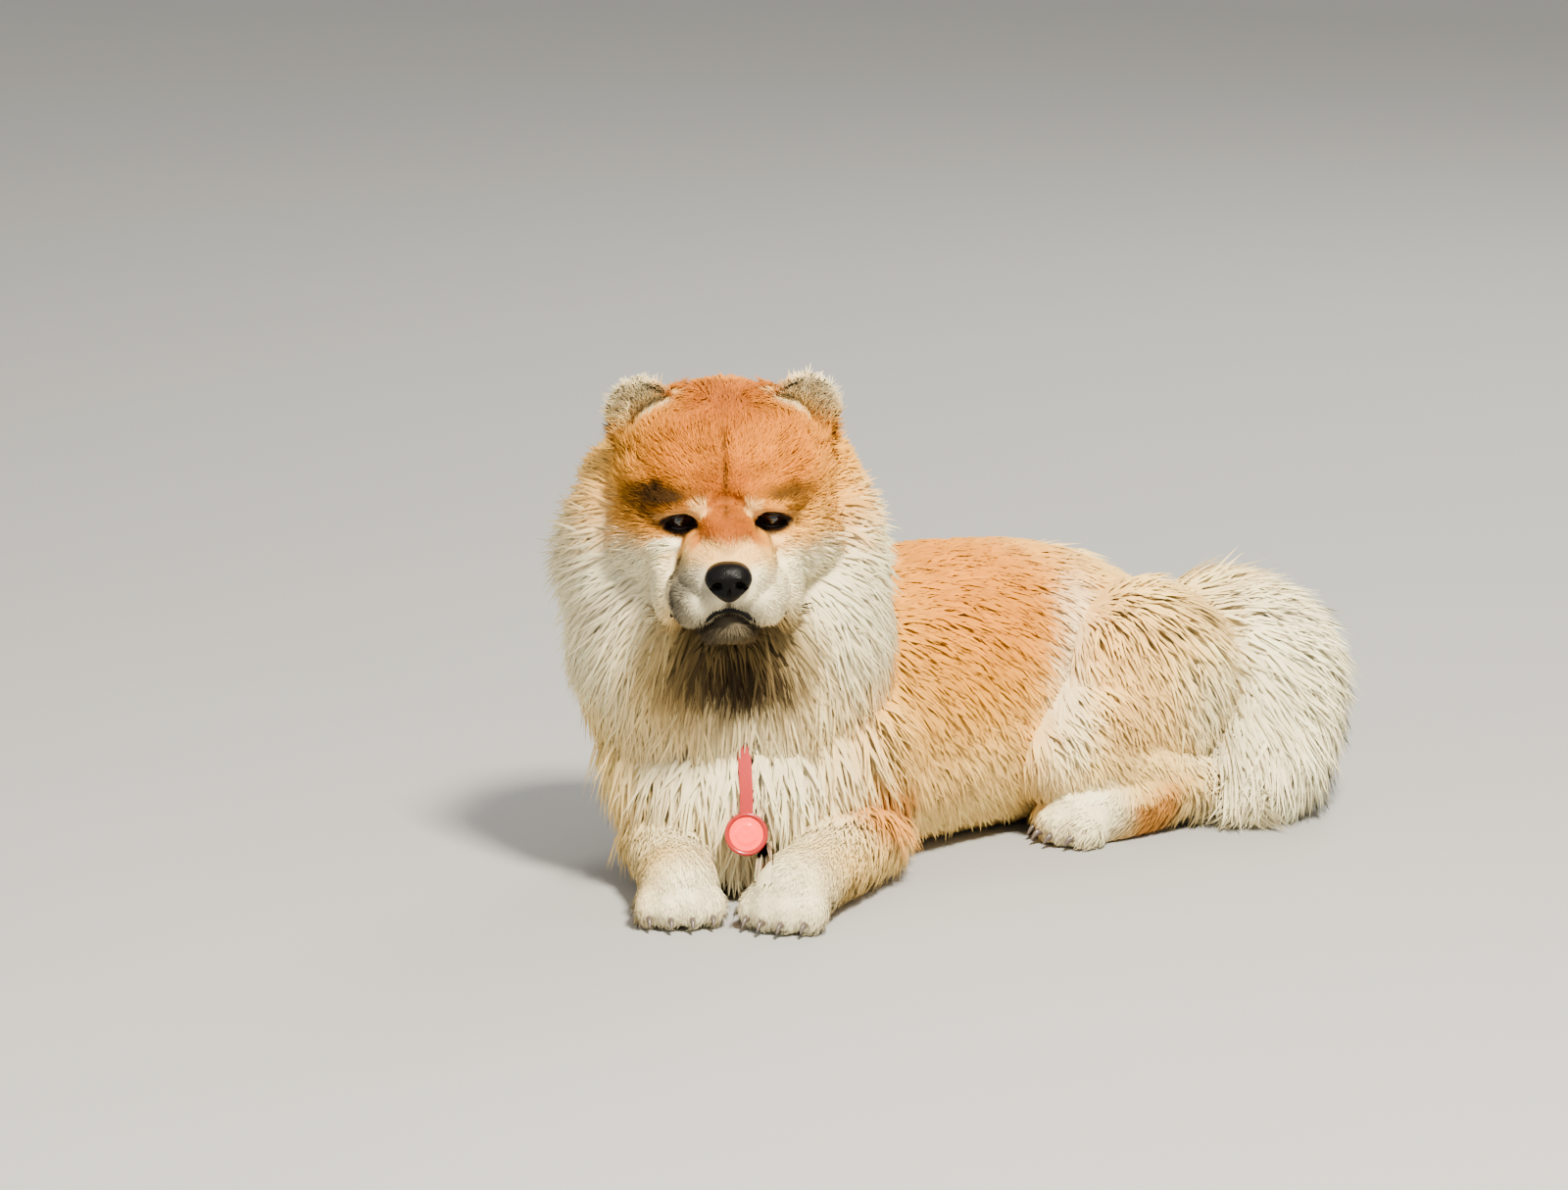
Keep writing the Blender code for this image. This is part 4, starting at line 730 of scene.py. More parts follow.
# The combs give the coat's lie, length and lift. Each: place, way, length and lift in degrees, in the head's frame.
HEAD_TABLE = (
    ((0.000, -0.158, -0.022), (0.0, 0.75, 0.65), 0.005, 16),
    ((0.000, -0.125, -0.004), (0.0, 0.85, 0.50), 0.006, 18),
    ((0.000, -0.100, 0.012), (0.0, 0.45, 0.90), 0.006, 20),
    ((0.012, -0.092, 0.024), (0.50, 0.20, 0.85), 0.007, 24),
    ((0.026, -0.085, 0.040), (0.45, 0.30, 0.85), 0.013, 32),
    ((0.000, -0.070, 0.066), (0.0, 0.50, 0.85), 0.019, 36),
    ((0.055, -0.062, 0.045), (0.60, 0.35, 0.70), 0.021, 36),
    ((0.000, -0.030, 0.083), (0.0, 0.90, 0.30), 0.022, 30),
    ((0.045, 0.000, 0.078), (0.30, 0.80, 0.20), 0.022, 30),
    ((0.000, 0.020, 0.083), (0.0, 0.90, 0.10), 0.024, 26),
    ((0.000, 0.060, 0.060), (0.0, 0.8, -0.6), 0.034, 30),
    ((0.026, -0.101, -0.003), (0.10, 0.20, 0.90), 0.0038, 16),
    ((0.046, -0.094, -0.005), (0.80, 0.35, 0.25), 0.0042, 16),
    ((0.060, -0.082, -0.015), (0.90, 0.45, 0.05), 0.006, 18),
    ((0.045, -0.098, 0.010), (0.70, 0.30, 0.60), 0.006, 22),
    ((0.066, -0.070, 0.012), (0.85, 0.45, 0.30), 0.014, 34),
    ((0.042, -0.096, -0.040), (0.55, 0.60, -0.55), 0.006, 18),
    ((0.064, -0.078, -0.050), (0.80, 0.45, -0.35), 0.020, 36),
    ((0.082, -0.055, -0.045), (0.85, 0.45, -0.25), 0.042, 46),
    ((0.090, -0.025, 0.010), (0.85, 0.45, 0.15), 0.040, 46),
    ((0.092, 0.010, -0.030), (0.85, 0.55, -0.20), 0.055, 46),
    ((0.044, -0.128, -0.050), (0.35, 0.90, -0.10), 0.005, 14),
    ((0.047, -0.120, -0.082), (0.40, 0.70, -0.60), 0.006, 16),
    ((0.068, -0.090, -0.084), (0.60, 0.60, -0.50), 0.012, 28),
    ((0.058, -0.100, -0.062), (0.60, 0.70, -0.30), 0.010, 24),
    ((0.056, -0.095, -0.106), (0.50, 0.45, -0.75), 0.012, 26),
    ((0.026, -0.162, -0.070), (0.60, 0.45, -0.65), 0.005, 14),
    ((0.000, -0.168, -0.064), (0.0, 0.10, -1.0), 0.004, 12),
    ((0.000, -0.155, -0.106), (0.0, 0.45, -0.90), 0.008, 20),
    ((0.030, -0.125, -0.114), (0.40, 0.40, -0.80), 0.014, 28),
    ((0.000, -0.085, -0.118), (0.0, 0.10, -1.0), 0.045, 30),
    ((0.062, -0.060, -0.110), (0.60, 0.25, -0.80), 0.045, 40),
    ((0.075, -0.020, -0.090), (0.75, 0.35, -0.55), 0.060, 44),
)


def both_sides(table):
    """Rows of place, way, length and lift as one array, mirrored where x isn't 0."""
    rows = []
    for place, way, length, lift in table:
        for side in ((1, -1) if place[0] else (1,)):
            rows.append((place[0] * side, *place[1:], way[0] * side, *way[1:], length, lift))
    return np.array(rows)


HEAD_COMBS = both_sides(HEAD_TABLE)


COMB_REACH = 0.012               # keeps the nearest comb from taking the whole weight
COMB_FACING = 0.05               # metres that stand for two normals being one apart
COMB_BATCH = 20000               # points at a time


def comb_values(combs, points, normals=None, comb_normals=None):
    """Way, length and lift at points: the combs' own, weighted by one over the fourth power of the distance to each.

    Where normals are given, a comb whose surface faces another way counts as further off.
    """
    out = np.zeros((len(points), 5))
    for start in range(0, len(points), COMB_BATCH):
        part = slice(start, start + COMB_BATCH)
        gaps = ((points[part, None, :] - combs[None, :, :3]) ** 2).sum(axis=2)
        if normals is not None:
            gaps += COMB_FACING**2 * ((normals[part, None, :] - comb_normals[None, :, :]) ** 2).sum(axis=2)
        weights = 1.0 / (gaps + COMB_REACH**2) ** 2
        out[part] = weights @ combs[:, 3:8] / weights.sum(axis=1)[:, None]
    return out


def tube_combs(rows, rings, sides, rule, side=None):
    """Combs all over a tube. The rule gives way, length and lift from its place, its share along and its turn."""
    grid = tube(rows, rings, sides, side=side)
    path = spline(rows, rings)[:, :3]
    along = unit(np.gradient(path, axis=0))
    combs = []
    for i in range(rings):
        for j in range(sides):
            way, length, lift = rule(grid[i, j], along[i], i / (rings - 1), j / sides)
            combs.append((*grid[i, j], *unit(np.array(way)), length, lift))
    return combs


def ruff_rule(place, along, share, turn):
    """The ruff fans out from the face above, and hangs below and down the nape."""
    nape = max(0.0, -math.cos((turn - 0.25) * 2 * math.pi))
    high = min(1.0, max(0.0, (share - 0.30) / 0.40))
    off = place - HEAD_CENTRE + (0.0, 0.0, 0.03)
    fan = unit(np.array((off[0], 0.0, 0.8 * off[2]))) + (0.0, 0.35, 0.0)
    hang = DOWN + np.array((0.15 * math.copysign(1.0, off[0]), -0.10, 0.0))
    way = unit(fan) * high * (1 - nape) + hang * (1 - high) * (1 - nape) + np.array((0.0, 0.6, -0.8)) * nape
    wider = 0.012 * max(0.0, -off[0] / 0.12) * high
    top = float(smooth(share, 0.62, 0.95))
    drape = 0.022 * nape * (1 - high)
    return way, (0.082 - 0.012 * high + wider + drape) * (1 - 0.55 * top), 41 - 5 * (1 - high) - 8 * top


def trunk_rule(place, along, share, turn):
    """The trunk's coat lies back along it and down on its sides, and hangs from its front as a bib."""
    steep = min(1.0, abs(turn - 0.25) / 0.25)
    low = 1.0 if place[2] < 0.02 else 0.0
    chest = max(0.0, 1.0 - share / 0.22)
    way = along * (1 - chest) + DOWN * (0.10 + 0.75 * steep) * (1 - low) + np.array((0.0, -0.10, -1.3)) * chest
    return way, 0.042 - 0.022 * low + 0.032 * chest, 20 + 16 * chest


def tail_rule(place, along, share, turn):
    """The plume lies along the tail and fans up and out from its upper side."""
    upper = max(0.0, 1.0 - abs(turn - 0.25) / 0.25)
    return along + np.array((0.5, 0.0, 0.5)) * upper, 0.075, 42 + 10 * upper


def leg_combs():
    """The forearm's coat runs down to the paw and is feathered behind. The thigh's runs back and down."""
    combs = []
    for side in (1, -1):
        shoulder, elbow, wrist, paw = [np.array(p) for p in FORELEGS[side]]
        out = np.array((float(side), 0.0, 0.0))
        for start, end, length in ((shoulder, elbow, 0.038), (elbow, wrist, 0.018), (wrist, paw, 0.010)):
            for t in (0.1, 0.5, 0.9):
                at = start + (end - start) * t
                way = unit(end - start)
                for away, more in ((out, 1.3), (-out, 1.0), (-DOWN, 1.0), (np.array((0.0, 1.0, 0.0)), 1.6)):
                    combs.append((*(at + away * 0.036), *unit(way + DOWN * 0.15), length * more, 30))
        centre = in_pelvis(THIGH_CENTRE, side)
        for tilt in (-40, 0, 40, 75):
            for turn in (-80, -30, 20, 70, 110):
                a, e = math.radians(turn), math.radians(tilt)
                away = PELVIS_BACK * math.sin(a) * math.cos(e) + PELVIS_LEFT * side * math.cos(a) * math.cos(e)
                away = away - DOWN * math.sin(e)
                back = max(0.0, math.sin(a))
                way = unit(PELVIS_BACK * (0.35 + 0.35 * back) + DOWN)
                combs.append((*(centre + away * (0.075, 0.075, 0.11)), *way, 0.042 + 0.028 * back, 24 + 10 * back))
        hind = in_pelvis(HIND_POINTS, side)
        for start, end, length in ((hind[1], hind[2], 0.024), (hind[2], hind[3], 0.010)):
            for t in (0.2, 0.5, 0.8):
                for away in (PELVIS_LEFT * side, -DOWN, -PELVIS_LEFT * side, -PELVIS_BACK):
                    at = start + (end - start) * t + away * 0.03
                    combs.append((*at, *unit(end - start + DOWN * 0.02), length, 24))
    for toes, heading in feet():
        for toe in toes:
            combs.append((*(toe - DOWN * 0.015), *unit(heading + DOWN * 0.5), 0.009, 22))
            combs.append((*(toe + heading * 0.02), *unit(heading * 0.3 + DOWN), 0.007, 18))
    return combs


def ear_combs():
    """The ears' coat runs up them from the root, short on the back, and longer and outward within the cup."""
    combs = []
    for side in (1, -1):
        grid = ear_grid(side, rows=5, columns=4)
        up = unit(grid[-1].mean(axis=0) - grid[0].mean(axis=0))
        forward = in_head((0.0, -1.0, 0.0)) - in_head((0.0, 0.0, 0.0))
        for i in range(1, 5):
            for j in range(grid.shape[1]):
                out = unit(grid[i, j] - grid[i].mean(axis=0))
                if j in (1, 2, 3):
                    combs.append((*grid[i, j], *unit(up * 0.8 + forward * 0.5 + out * 0.2), 0.021, 42))
                elif j in (0, 4):
                    combs.append((*grid[i, j], *unit(up * 0.6 + out), 0.014, 34))
                else:
                    combs.append((*grid[i, j], *unit(up + out * 0.3), 0.011, 30))
    return combs


def all_combs():
    head = HEAD_COMBS.copy()
    head[:, 3:6] = unit(head[:, 3:6]) @ HEAD_AXES.T
    head[:, :3] = in_head(head[:, :3])
    others = tube_combs(NECK, 7, 14, ruff_rule, side=(1, 0, 0)) + tube_combs(TRUNK, 12, 12, trunk_rule)
    others += tube_combs(TAIL, 8, 6, tail_rule) + leg_combs() + ear_combs()
    return np.concatenate([head, np.array(others)])


# Where each coat grows: the bones that its skin lies round, as places and radii.

def bones():
    made = {"head": [(in_head(p), r) for p, r in (
        ((0.0, -0.150, -0.060), 0.036), ((0.0, -0.115, -0.050), 0.048), ((0.0, -0.060, -0.020), 0.080),
        ((0.0, 0.000, 0.005), 0.088), ((0.0, 0.040, 0.010), 0.060))]}
    made["ears"] = [(in_head((EAR_ROOT + (0, 0, h)) * (side, 1, 1)), 0.026)
                    for side in (1, -1) for h in (0.012, 0.030, 0.048)]
    for name, rows in (("ruff", NECK), ("trunk", TRUNK), ("tail", TAIL)):
        made[name] = [(row[:3], (row[3] + row[4]) / 2) for row in spline(rows, 24)]
    made["forelegs"], made["hindlegs"] = [], []
    for side in (1, -1):
        for row in spline([(*p, r) for p, r in zip(FORELEGS[side], FORELEG_RADII)], 24):
            made["forelegs"].append((row[:3], row[3]))
        for row in spline([(*in_pelvis(p, side), r) for p, r in zip(HIND_POINTS, HIND_RADII)], 24):
            made["hindlegs"].append((row[:3], row[3]))
        made["hindlegs"].append((in_pelvis((0.012, 0.092, 0.150), side), 0.062))
    return made


def coat_at(points):
    """The name's number and the nearest bone's number, for the bone whose surface is nearest to each point."""
    names, best, which = [], np.full(len(points), np.inf), np.zeros((len(points), 2), int)
    for number, (name, chain) in enumerate(bones().items()):
        names.append(name)
        for order, (centre, radius) in enumerate(chain):
            off = np.linalg.norm(points - centre, axis=1) - radius
            nearer = off < best
            best[nearer] = off[nearer]
            which[nearer] = (number, order)
    return names, which


def unwrapped(points, chain, order):
    """A place on an unwrap: the share along the bones, and the turn about the way that they run."""
    centres = np.array([centre for centre, _ in chain])
    along = unit(np.gradient(centres, axis=0))[order]
    side = unit(np.cross(along, (0.0, 0.0, 1.0)) + np.array((1e-3, 0.0, 0.0)))
    rise = np.cross(side, along)
    gap = points - centres[order]
    turn = np.arctan2((gap * rise).sum(axis=1), (gap * side).sum(axis=1)) / (2 * np.pi) % 1.0
    further = (gap * along).sum(axis=1) / 0.02
    share = (order + 0.5 + np.clip(further, -0.5, 0.5)) / len(chain)
    return np.stack([np.clip(share, 0.005, 0.995), np.clip(turn, 0.005, 0.995)], -1)


# The coat

RINGS = 2                        # rings of a tuft, each of three points, below its tip
TUFT_PROFILE = np.array((0.85, 0.95))
# A tuft's root is darkened as painted shade within the coat, and its tip lightened as painted light through the hair
TUFT_ROOT_SHADE_TIP_LIGHT = (0.82, 0.26)        # tone at the root, and how much it gains towards the tip
PATCH = 0.003                    # side of a tuft's patch on the baked map
MOST_TRIANGLES = 190000          # of one coat piece
LIFTS, LENGTHS, WIDTHS = (0.8, 1.2), (0.55, 1.15), (0.7, 1.2)     # spread of each about what the combs give
SWING, BOW = 0.24, 0.12          # spread of a tuft's turn about its root, and of its bend to the side
SAG = 0.10                       # how far a tip sinks, as a share of its tuft's length
ROOT_DEPTH = 0.0015
MOST_DRAWN = 0.45                # how far a tip may be drawn to its lead's, as a share of its tuft's length
EVEN_LENGTH = 0.020              # shorter coats than this grow more tufts to an area, and longer ones fewer
DENSITY = (0.35, 2.2)
LOW, LOW_DENSITY = 0.03, 0.5     # below this height the coat is thinner


def tufts(roots, normals, ways, lengths, lifts, rng):
    """The middle lines of tufts, and the side that each tuft's width runs along.

    A line leaves the skin at the lift and settles as it goes: along the way it goes by t times the lift's cosine,
    and out by t times the sine of a lift that falls with t.
    """
    count = len(roots)
    ways = unit(ways - normals * (ways * normals).sum(axis=1)[:, None])
    side = np.cross(ways, normals)
    swing = rng.normal(0, SWING, count)[:, None]
    ways = unit(ways + side * swing)
    side = np.cross(ways, normals)
    bow = rng.normal(0, BOW, count)
    t = np.linspace(0, 1, RINGS + 1)
    lift = np.radians(lifts)[:, None] * (1.15 - 0.65 * t[None, :])
    out = lengths[:, None] * t * np.sin(lift) - ROOT_DEPTH * (1 - t)
    ahead = lengths[:, None] * t * np.cos(lift)
    bend = lengths[:, None] * bow[:, None] * t**2
    middle = roots[:, None, :] + normals[:, None, :] * out[..., None] + ways[:, None, :] * ahead[..., None]
    middle += side[:, None, :] * bend[..., None]
    middle[:, :, 2] -= lengths[:, None] * SAG * t**2
    return middle, side


def gathered(middle, lengths, size, pull, rng):
    """Draws each tuft's tip towards that of the nearest of some leading tufts, more so towards the tip."""
    leaders = rng.choice(len(middle), max(2, len(middle) // size), replace=False)
    tree = KDTree(len(leaders))
    for i, leader in enumerate(leaders):
        tree.insert(middle[leader, 0], i)
    tree.balance()
    nearest = leaders[np.array([tree.find(p)[1] for p in middle[:, 0]])]
    t = np.linspace(0, 1, RINGS + 1)
    shift = middle[nearest, -1] - middle[:, -1]
    gap = np.linalg.norm(shift, axis=1)
    shift *= np.minimum(1.0, MOST_DRAWN * lengths / np.maximum(gap, 1e-6))[:, None]
    return middle + shift[:, None, :] * (pull * t**2)[None, :, None]


def tuft_mesh(middle, side, widths):
    """Points and triangles of tufts from their middle lines: rings of two edges and a ridge, and a tip."""
    count = len(middle)
    along = unit(np.gradient(middle, axis=1))
    side = unit(side[:, None, :] - along * (side[:, None, :] * along).sum(axis=2)[..., None])
    up = np.cross(side, along)
    half = (widths[:, None] * TUFT_PROFILE / 2)[..., None]
    ring = middle[:, :-1]
    left = ring - side[:, :-1] * half - up[:, :-1] * half * 0.25
    right = ring + side[:, :-1] * half - up[:, :-1] * half * 0.25
    ridge = ring + up[:, :-1] * half * 0.55
    body = np.stack([left, right, ridge], axis=2).reshape(count, RINGS * 3, 3)
    points = np.concatenate([body, middle[:, -1:]], axis=1)
    points[:, :, 2] = np.maximum(points[:, :, 2], FLOOR_CLEARANCE)
    points = behind_tag(points)
    faces = [(0, 1, 2)]
    last, tip = (RINGS - 1) * 3, RINGS * 3
    for j in range(3):
        after = (j + 1) % 3
        for start in range(0, last, 3):
            faces += [(start + j, start + after + 3, start + after), (start + j, start + j + 3, start + after + 3)]
        faces.append((last + after, last + j, tip))
    triangles = np.array(faces)[None] + (np.arange(count) * (tip + 1))[:, None, None]
    return points.reshape(-1, 3), triangles.reshape(-1, 3)


def behind_tag(points):
    """Keeps the coat behind the tag and its strap."""
    strap = spline(STRAP_PATH, 30)
    face = np.interp(points[..., 2], strap[:, 2], strap[:, 1]) + 0.004
    face = np.where(points[..., 2] < strap[0, 2], TAG[1] + 0.007, face)
    reach = np.where(points[..., 2] < strap[0, 2], 0.023, 0.008)
    low, high = TAG[2] - 0.024, strap[-1, 2] - 0.012
    close = (np.abs(points[..., 0] - TAG[0]) < reach) & (points[..., 2] > low) & (points[..., 2] < high)
    close &= points[..., 1] < 0.0
    points[..., 1] = np.where(close, np.maximum(points[..., 1], face), points[..., 1])
    return points


# Each coat: tufts, width, how many share a lead, how far they are drawn to it, how far they are lit as the skin
# below them is, how their tone varies, and slot.
COATS = {
    "head": ("head_tufts", 0.0015, 12, 0.34, 0.45, 0.10, "face_coat"),
    "ears": ("ear_tufts", 0.0015, 8, 0.26, 0.60, 0.06, "face_coat"),
    "ruff": ("ruff_tufts", 0.0029, 16, 0.30, 0.74, 0.06, "cream_coat"),
    "trunk": ("trunk_tufts", 0.0036, 10, 0.22, 0.80, 0.05, "body_coat"),
    "tail": ("tail_tufts", 0.0034, 16, 0.34, 0.78, 0.05, "cream_coat"),
    "forelegs": ("foreleg_tufts", 0.0019, 12, 0.26, 0.75, 0.06, "cream_coat"),
    "hindlegs": ("hindleg_tufts", 0.0033, 12, 0.26, 0.78, 0.05, "cream_coat"),
}

BARE_BELOW = 0.004               # height above the floor
BARE_ROUND = 1.12                # times the size of an eye opening or the nose
BARE_LIP = 0.0045                # distance from the line of the mouth


def bare(points, coat):
    """Where no tuft may root: at the floor, and on the head in the eyes, on the nose and on the lips."""
    q = to_head(points)
    hidden = points[:, 2] < BARE_BELOW
    if coat == "head":
        for side in (1, -1):
            hidden |= distance_to_slit(q, side) < BARE_ROUND
        hidden |= (((q - NOSE) / (NOSE_SIZE * BARE_ROUND)) ** 2).sum(axis=1) < 1.0
        hidden |= distance_to(q, MOUTH_LINE, MOUTH_STEPS) < BARE_LIP
    return hidden


def distance_to_slit(q, side):
    """How many times the eye opening's own size a point lies from its middle, seen from the front."""
    across, up = EYE[0] - q[:, 0] * side, q[:, 2] - EYE[2]
    x = across * math.cos(EYE_SLANT) + up * math.sin(EYE_SLANT)
    z = up * math.cos(EYE_SLANT) - across * math.sin(EYE_SLANT)
    near = np.sqrt((x / EYE_SLIT[0]) ** 2 + (z / EYE_SLIT[1]) ** 2)
    return np.where((q[:, 1] < -0.05) & (q[:, 1] > -0.100), near, 9.0)


def parted(points, ways, lifts, lengths):
    """Turns the coat away from the eyes and the nose, and shortens it at the lids."""
    q = to_head(points)
    for side in (1, -1):
        centre = EYE * (side, 1, 1)
        off = (q - centre) * (1, 0, 1)
        near = 1.0 - smooth(np.linalg.norm(off, axis=1), 0.012, 0.024)
        near *= q[:, 1] < -0.05
        ways = ways + (unit(off) @ HEAD_AXES.T) * (near * 1.4)[:, None]
        lifts = lifts * (1 - 0.45 * near)
        lengths = lengths * (1 - 0.55 * near)
    off = q - NOSE
    near = 1.0 - smooth(np.linalg.norm(off, axis=1), 0.022, 0.032)
    ways = ways + (unit(off) @ HEAD_AXES.T) * (near * 1.0)[:, None]
    return unit(ways), lifts, lengths


def build_coat(skin, sizes, colours, surface):
    """Roots are drawn evenly over the skin's triangles, by area and by how short the coat is there."""
    mesh = skin.data
    points, normals = points_of(mesh)
    corners = triangles_of(mesh)
    spots = points[corners]
    area = np.linalg.norm(np.cross(spots[:, 1] - spots[:, 0], spots[:, 2] - spots[:, 0]), axis=1) / 2
    middle = spots.mean(axis=1)
    facing = unit(np.cross(spots[:, 1] - spots[:, 0], spots[:, 2] - spots[:, 0]))
    names, which = coat_at(middle)
    combs = all_combs()
    comb_normals = normals_near(points, normals, combs[:, :3])
    fields = comb_values(combs, middle, facing, comb_normals)
    chains = bones()
    for number, name in enumerate(names):
        property_name, width, size, pull, softness, variety, slot = COATS[name]
        rng = np.random.default_rng(SEED + number)
        weights = area * (which[:, 0] == number) * ~bare(middle, name)
        weights *= np.clip(EVEN_LENGTH / fields[:, 3], *DENSITY)
        weights *= np.where(middle[:, 2] < LOW, LOW_DENSITY, 1.0)
        count = getattr(sizes, property_name)
        total = np.cumsum(weights)
        draws = (np.arange(count) + rng.random(count)) / count * total[-1]
        chosen = np.minimum(np.searchsorted(total, draws), len(total) - 1)
        share = rng.random((count, 2))
        share = np.where(share.sum(axis=1)[:, None] > 1, 1 - share, share)
        share = np.concatenate([1 - share.sum(axis=1)[:, None], share], axis=1)[..., None]
        roots = (spots[chosen] * share).sum(axis=1)
        ups = unit((normals[corners[chosen]] * share).sum(axis=1))
        values = comb_values(combs, roots, ups, comb_normals)
        ways, lifts = unit(values[:, :3]), values[:, 4] * rng.uniform(*LIFTS, count)
        lengths = values[:, 3] * rng.uniform(*LENGTHS, count)
        if name == "head":
            ways, lifts, lengths = parted(roots, ways, lifts, lengths)
        widths = width * np.clip(np.sqrt(lengths / 0.03), 0.7, 1.3) * rng.uniform(*WIDTHS, count)
        path, side = tufts(roots, ups, ways, lengths, lifts, rng)
        path = gathered(path, lengths, size, pull, rng)
        tone = markings(roots, colours) * rng.normal(1.0, variety, count)[:, None]
        order = which[chosen, 1]
        flat = unwrapped(roots, chains[name], order)
        turn = np.argsort(flat[:, 1])
        pieces = math.ceil(count * (RINGS * 6 - 2) / MOST_TRIANGLES)
        for part, chunk in enumerate(np.array_split(turn, pieces)):
            label = f"coat_{name}" + (f"_{part + 1}" if pieces > 1 else "")
            tuft_piece(label, path[chunk], side[chunk], widths[chunk], tone[chunk], flat[chunk],
                       ups[chunk] * softness, surface)


def tuft_piece(name, path, side, widths, tone, flat, ups, surface):
    """One coat piece, its colours darker at the root as painted shade and paler at the tip as painted light, and its
    patches for the baked map.

    Its normals lean towards the ups, the skin's normals by the share that is lit as the skin.
    """
    points, triangles = tuft_mesh(path, side, widths)
    made = object_of(name, points, triangles)
    t = np.append(np.repeat(np.arange(RINGS) / RINGS, 3), 1.0)
    shade = TUFT_ROOT_SHADE_TIP_LIGHT[0] + TUFT_ROOT_SHADE_TIP_LIGHT[1] * t
    paint(made.data, np.clip(tone[:, None, :] * shade[None, :, None], 0, 1).reshape(-1, 3))
    across = np.append(np.tile((-1.0, 1.0, 0.0), RINGS), 0.0) * PATCH / 2
    patch = np.stack([across, (t - 0.5) * PATCH], -1)
    places = (flat[:, None, :] + patch[None]).reshape(-1, 2)
    layer = made.data.uv_layers.new(name="OFBake")
    layer.data.foreach_set("uv", places[triangles.ravel()].astype(np.float32).ravel())
    own = np.zeros(len(points) * 3)
    made.data.vertex_normals.foreach_get("vector", own)
    under = np.repeat(ups, RINGS * 3 + 1, axis=0)
    share = 1 - np.linalg.norm(under, axis=1, keepdims=True)
    made.data.normals_split_custom_set_from_vertices(unit(own.reshape(-1, 3) * share + under))
    finished(made, surface)


def normals_near(points, normals, places):
    """The skin's normal at the skin point nearest to each place."""
    tree = KDTree(len(points))
    for i, p in enumerate(points):
        tree.insert(p, i)
    tree.balance()
    return normals[np.array([tree.find(p)[1] for p in places])]


# Eyes, lids, nose, lips, claws and tag

def eyeball(side, radius):
    """A ball with a bulged cornea: rings round the way it looks, their radius a sine and their reach a cosine."""
    turn = np.linspace(0.02, np.pi - 0.02, 40)[:, None]
    around = np.linspace(0, 2 * np.pi, 48, endpoint=False)[None, :]
    bulge = 1 + 0.05 * np.exp(-(turn / 0.42) ** 2)
    local = np.stack([
        radius * np.sin(turn) * np.cos(around),
        -radius * bulge * np.cos(turn) + 0 * around,
        radius * np.sin(turn) * np.sin(around),
    ], -1)
    return in_head(EYE * (side, 1, 1) + local)


def iris_colours(side, radius, colours):
    """Pupil, iris and white by the distance from the way that the eye looks."""
    def rule(points):
        off = to_head(points) - EYE * (side, 1, 1)
        away = np.hypot(off[:, 0], off[:, 2]) / radius
        away = np.where(off[:, 1] < 0, away, 2.0)
        spokes = 0.85 + 0.15 * np.sin(np.arctan2(off[:, 2], off[:, 0]) * 37)
        out = np.tile(np.array(colours["eye_white"]), (len(points), 1))
        iris = (1 - smooth(away, 0.60, 0.66))[:, None]
        out += (np.array(colours["iris"]) * spokes[:, None] - out) * iris
        out += (np.array(colours["pupil"]) - out) * (1 - smooth(away, 0.26, 0.31))[:, None]
        return out
    return rule


def ring_tube(path, radius_across, radius_up, sides=10):
    """A closed ring's tube: at each place two radii, one out from the ring's middle and one across it."""
    centre = path.mean(axis=0)
    along = unit(np.roll(path, -1, axis=0) - np.roll(path, 1, axis=0))
    out = path - centre
    out = unit(out - along * (out * along).sum(axis=1)[:, None])
    up = np.cross(along, out)
    angle = np.linspace(0, 2 * np.pi, sides, endpoint=False)
    return (path[:, None, :] + out[:, None, :] * np.cos(angle)[:, None] * radius_across
            + up[:, None, :] * np.sin(angle)[:, None] * radius_up)


def looped(grid):
    """Points and triangles of a tube that runs round on itself."""
    m, n, _ = grid.shape
    i, j = np.meshgrid(np.arange(m), np.arange(n), indexing="ij")
    a, b = i * n + j, i * n + (j + 1) % n
    c, d = (i + 1) % m * n + j, (i + 1) % m * n + (j + 1) % n
    triangles = np.stack([a, c, d, a, d, b], -1).reshape(-1, 3)
    points = grid.reshape(-1, 3)
    return points, outward(points, triangles)


def lid_rims(radius):
    """The bare dark rims of the lids: the eye's outline laid on the ball, as a thin tube."""
    solids = []
    for side in (1, -1):
        outline = almond(side, 56)
        off = outline - EYE * (side, 1, 1)
        flat = np.hypot(off[:, 0], off[:, 2])
        depth = np.sqrt(np.maximum((radius + 0.0010) ** 2 - flat**2, (0.30 * radius) ** 2))
        outline[:, 1] = EYE[1] - depth
        solids.append(looped(ring_tube(in_head(outline), 0.0019, 0.0024)))
    return joined(solids)


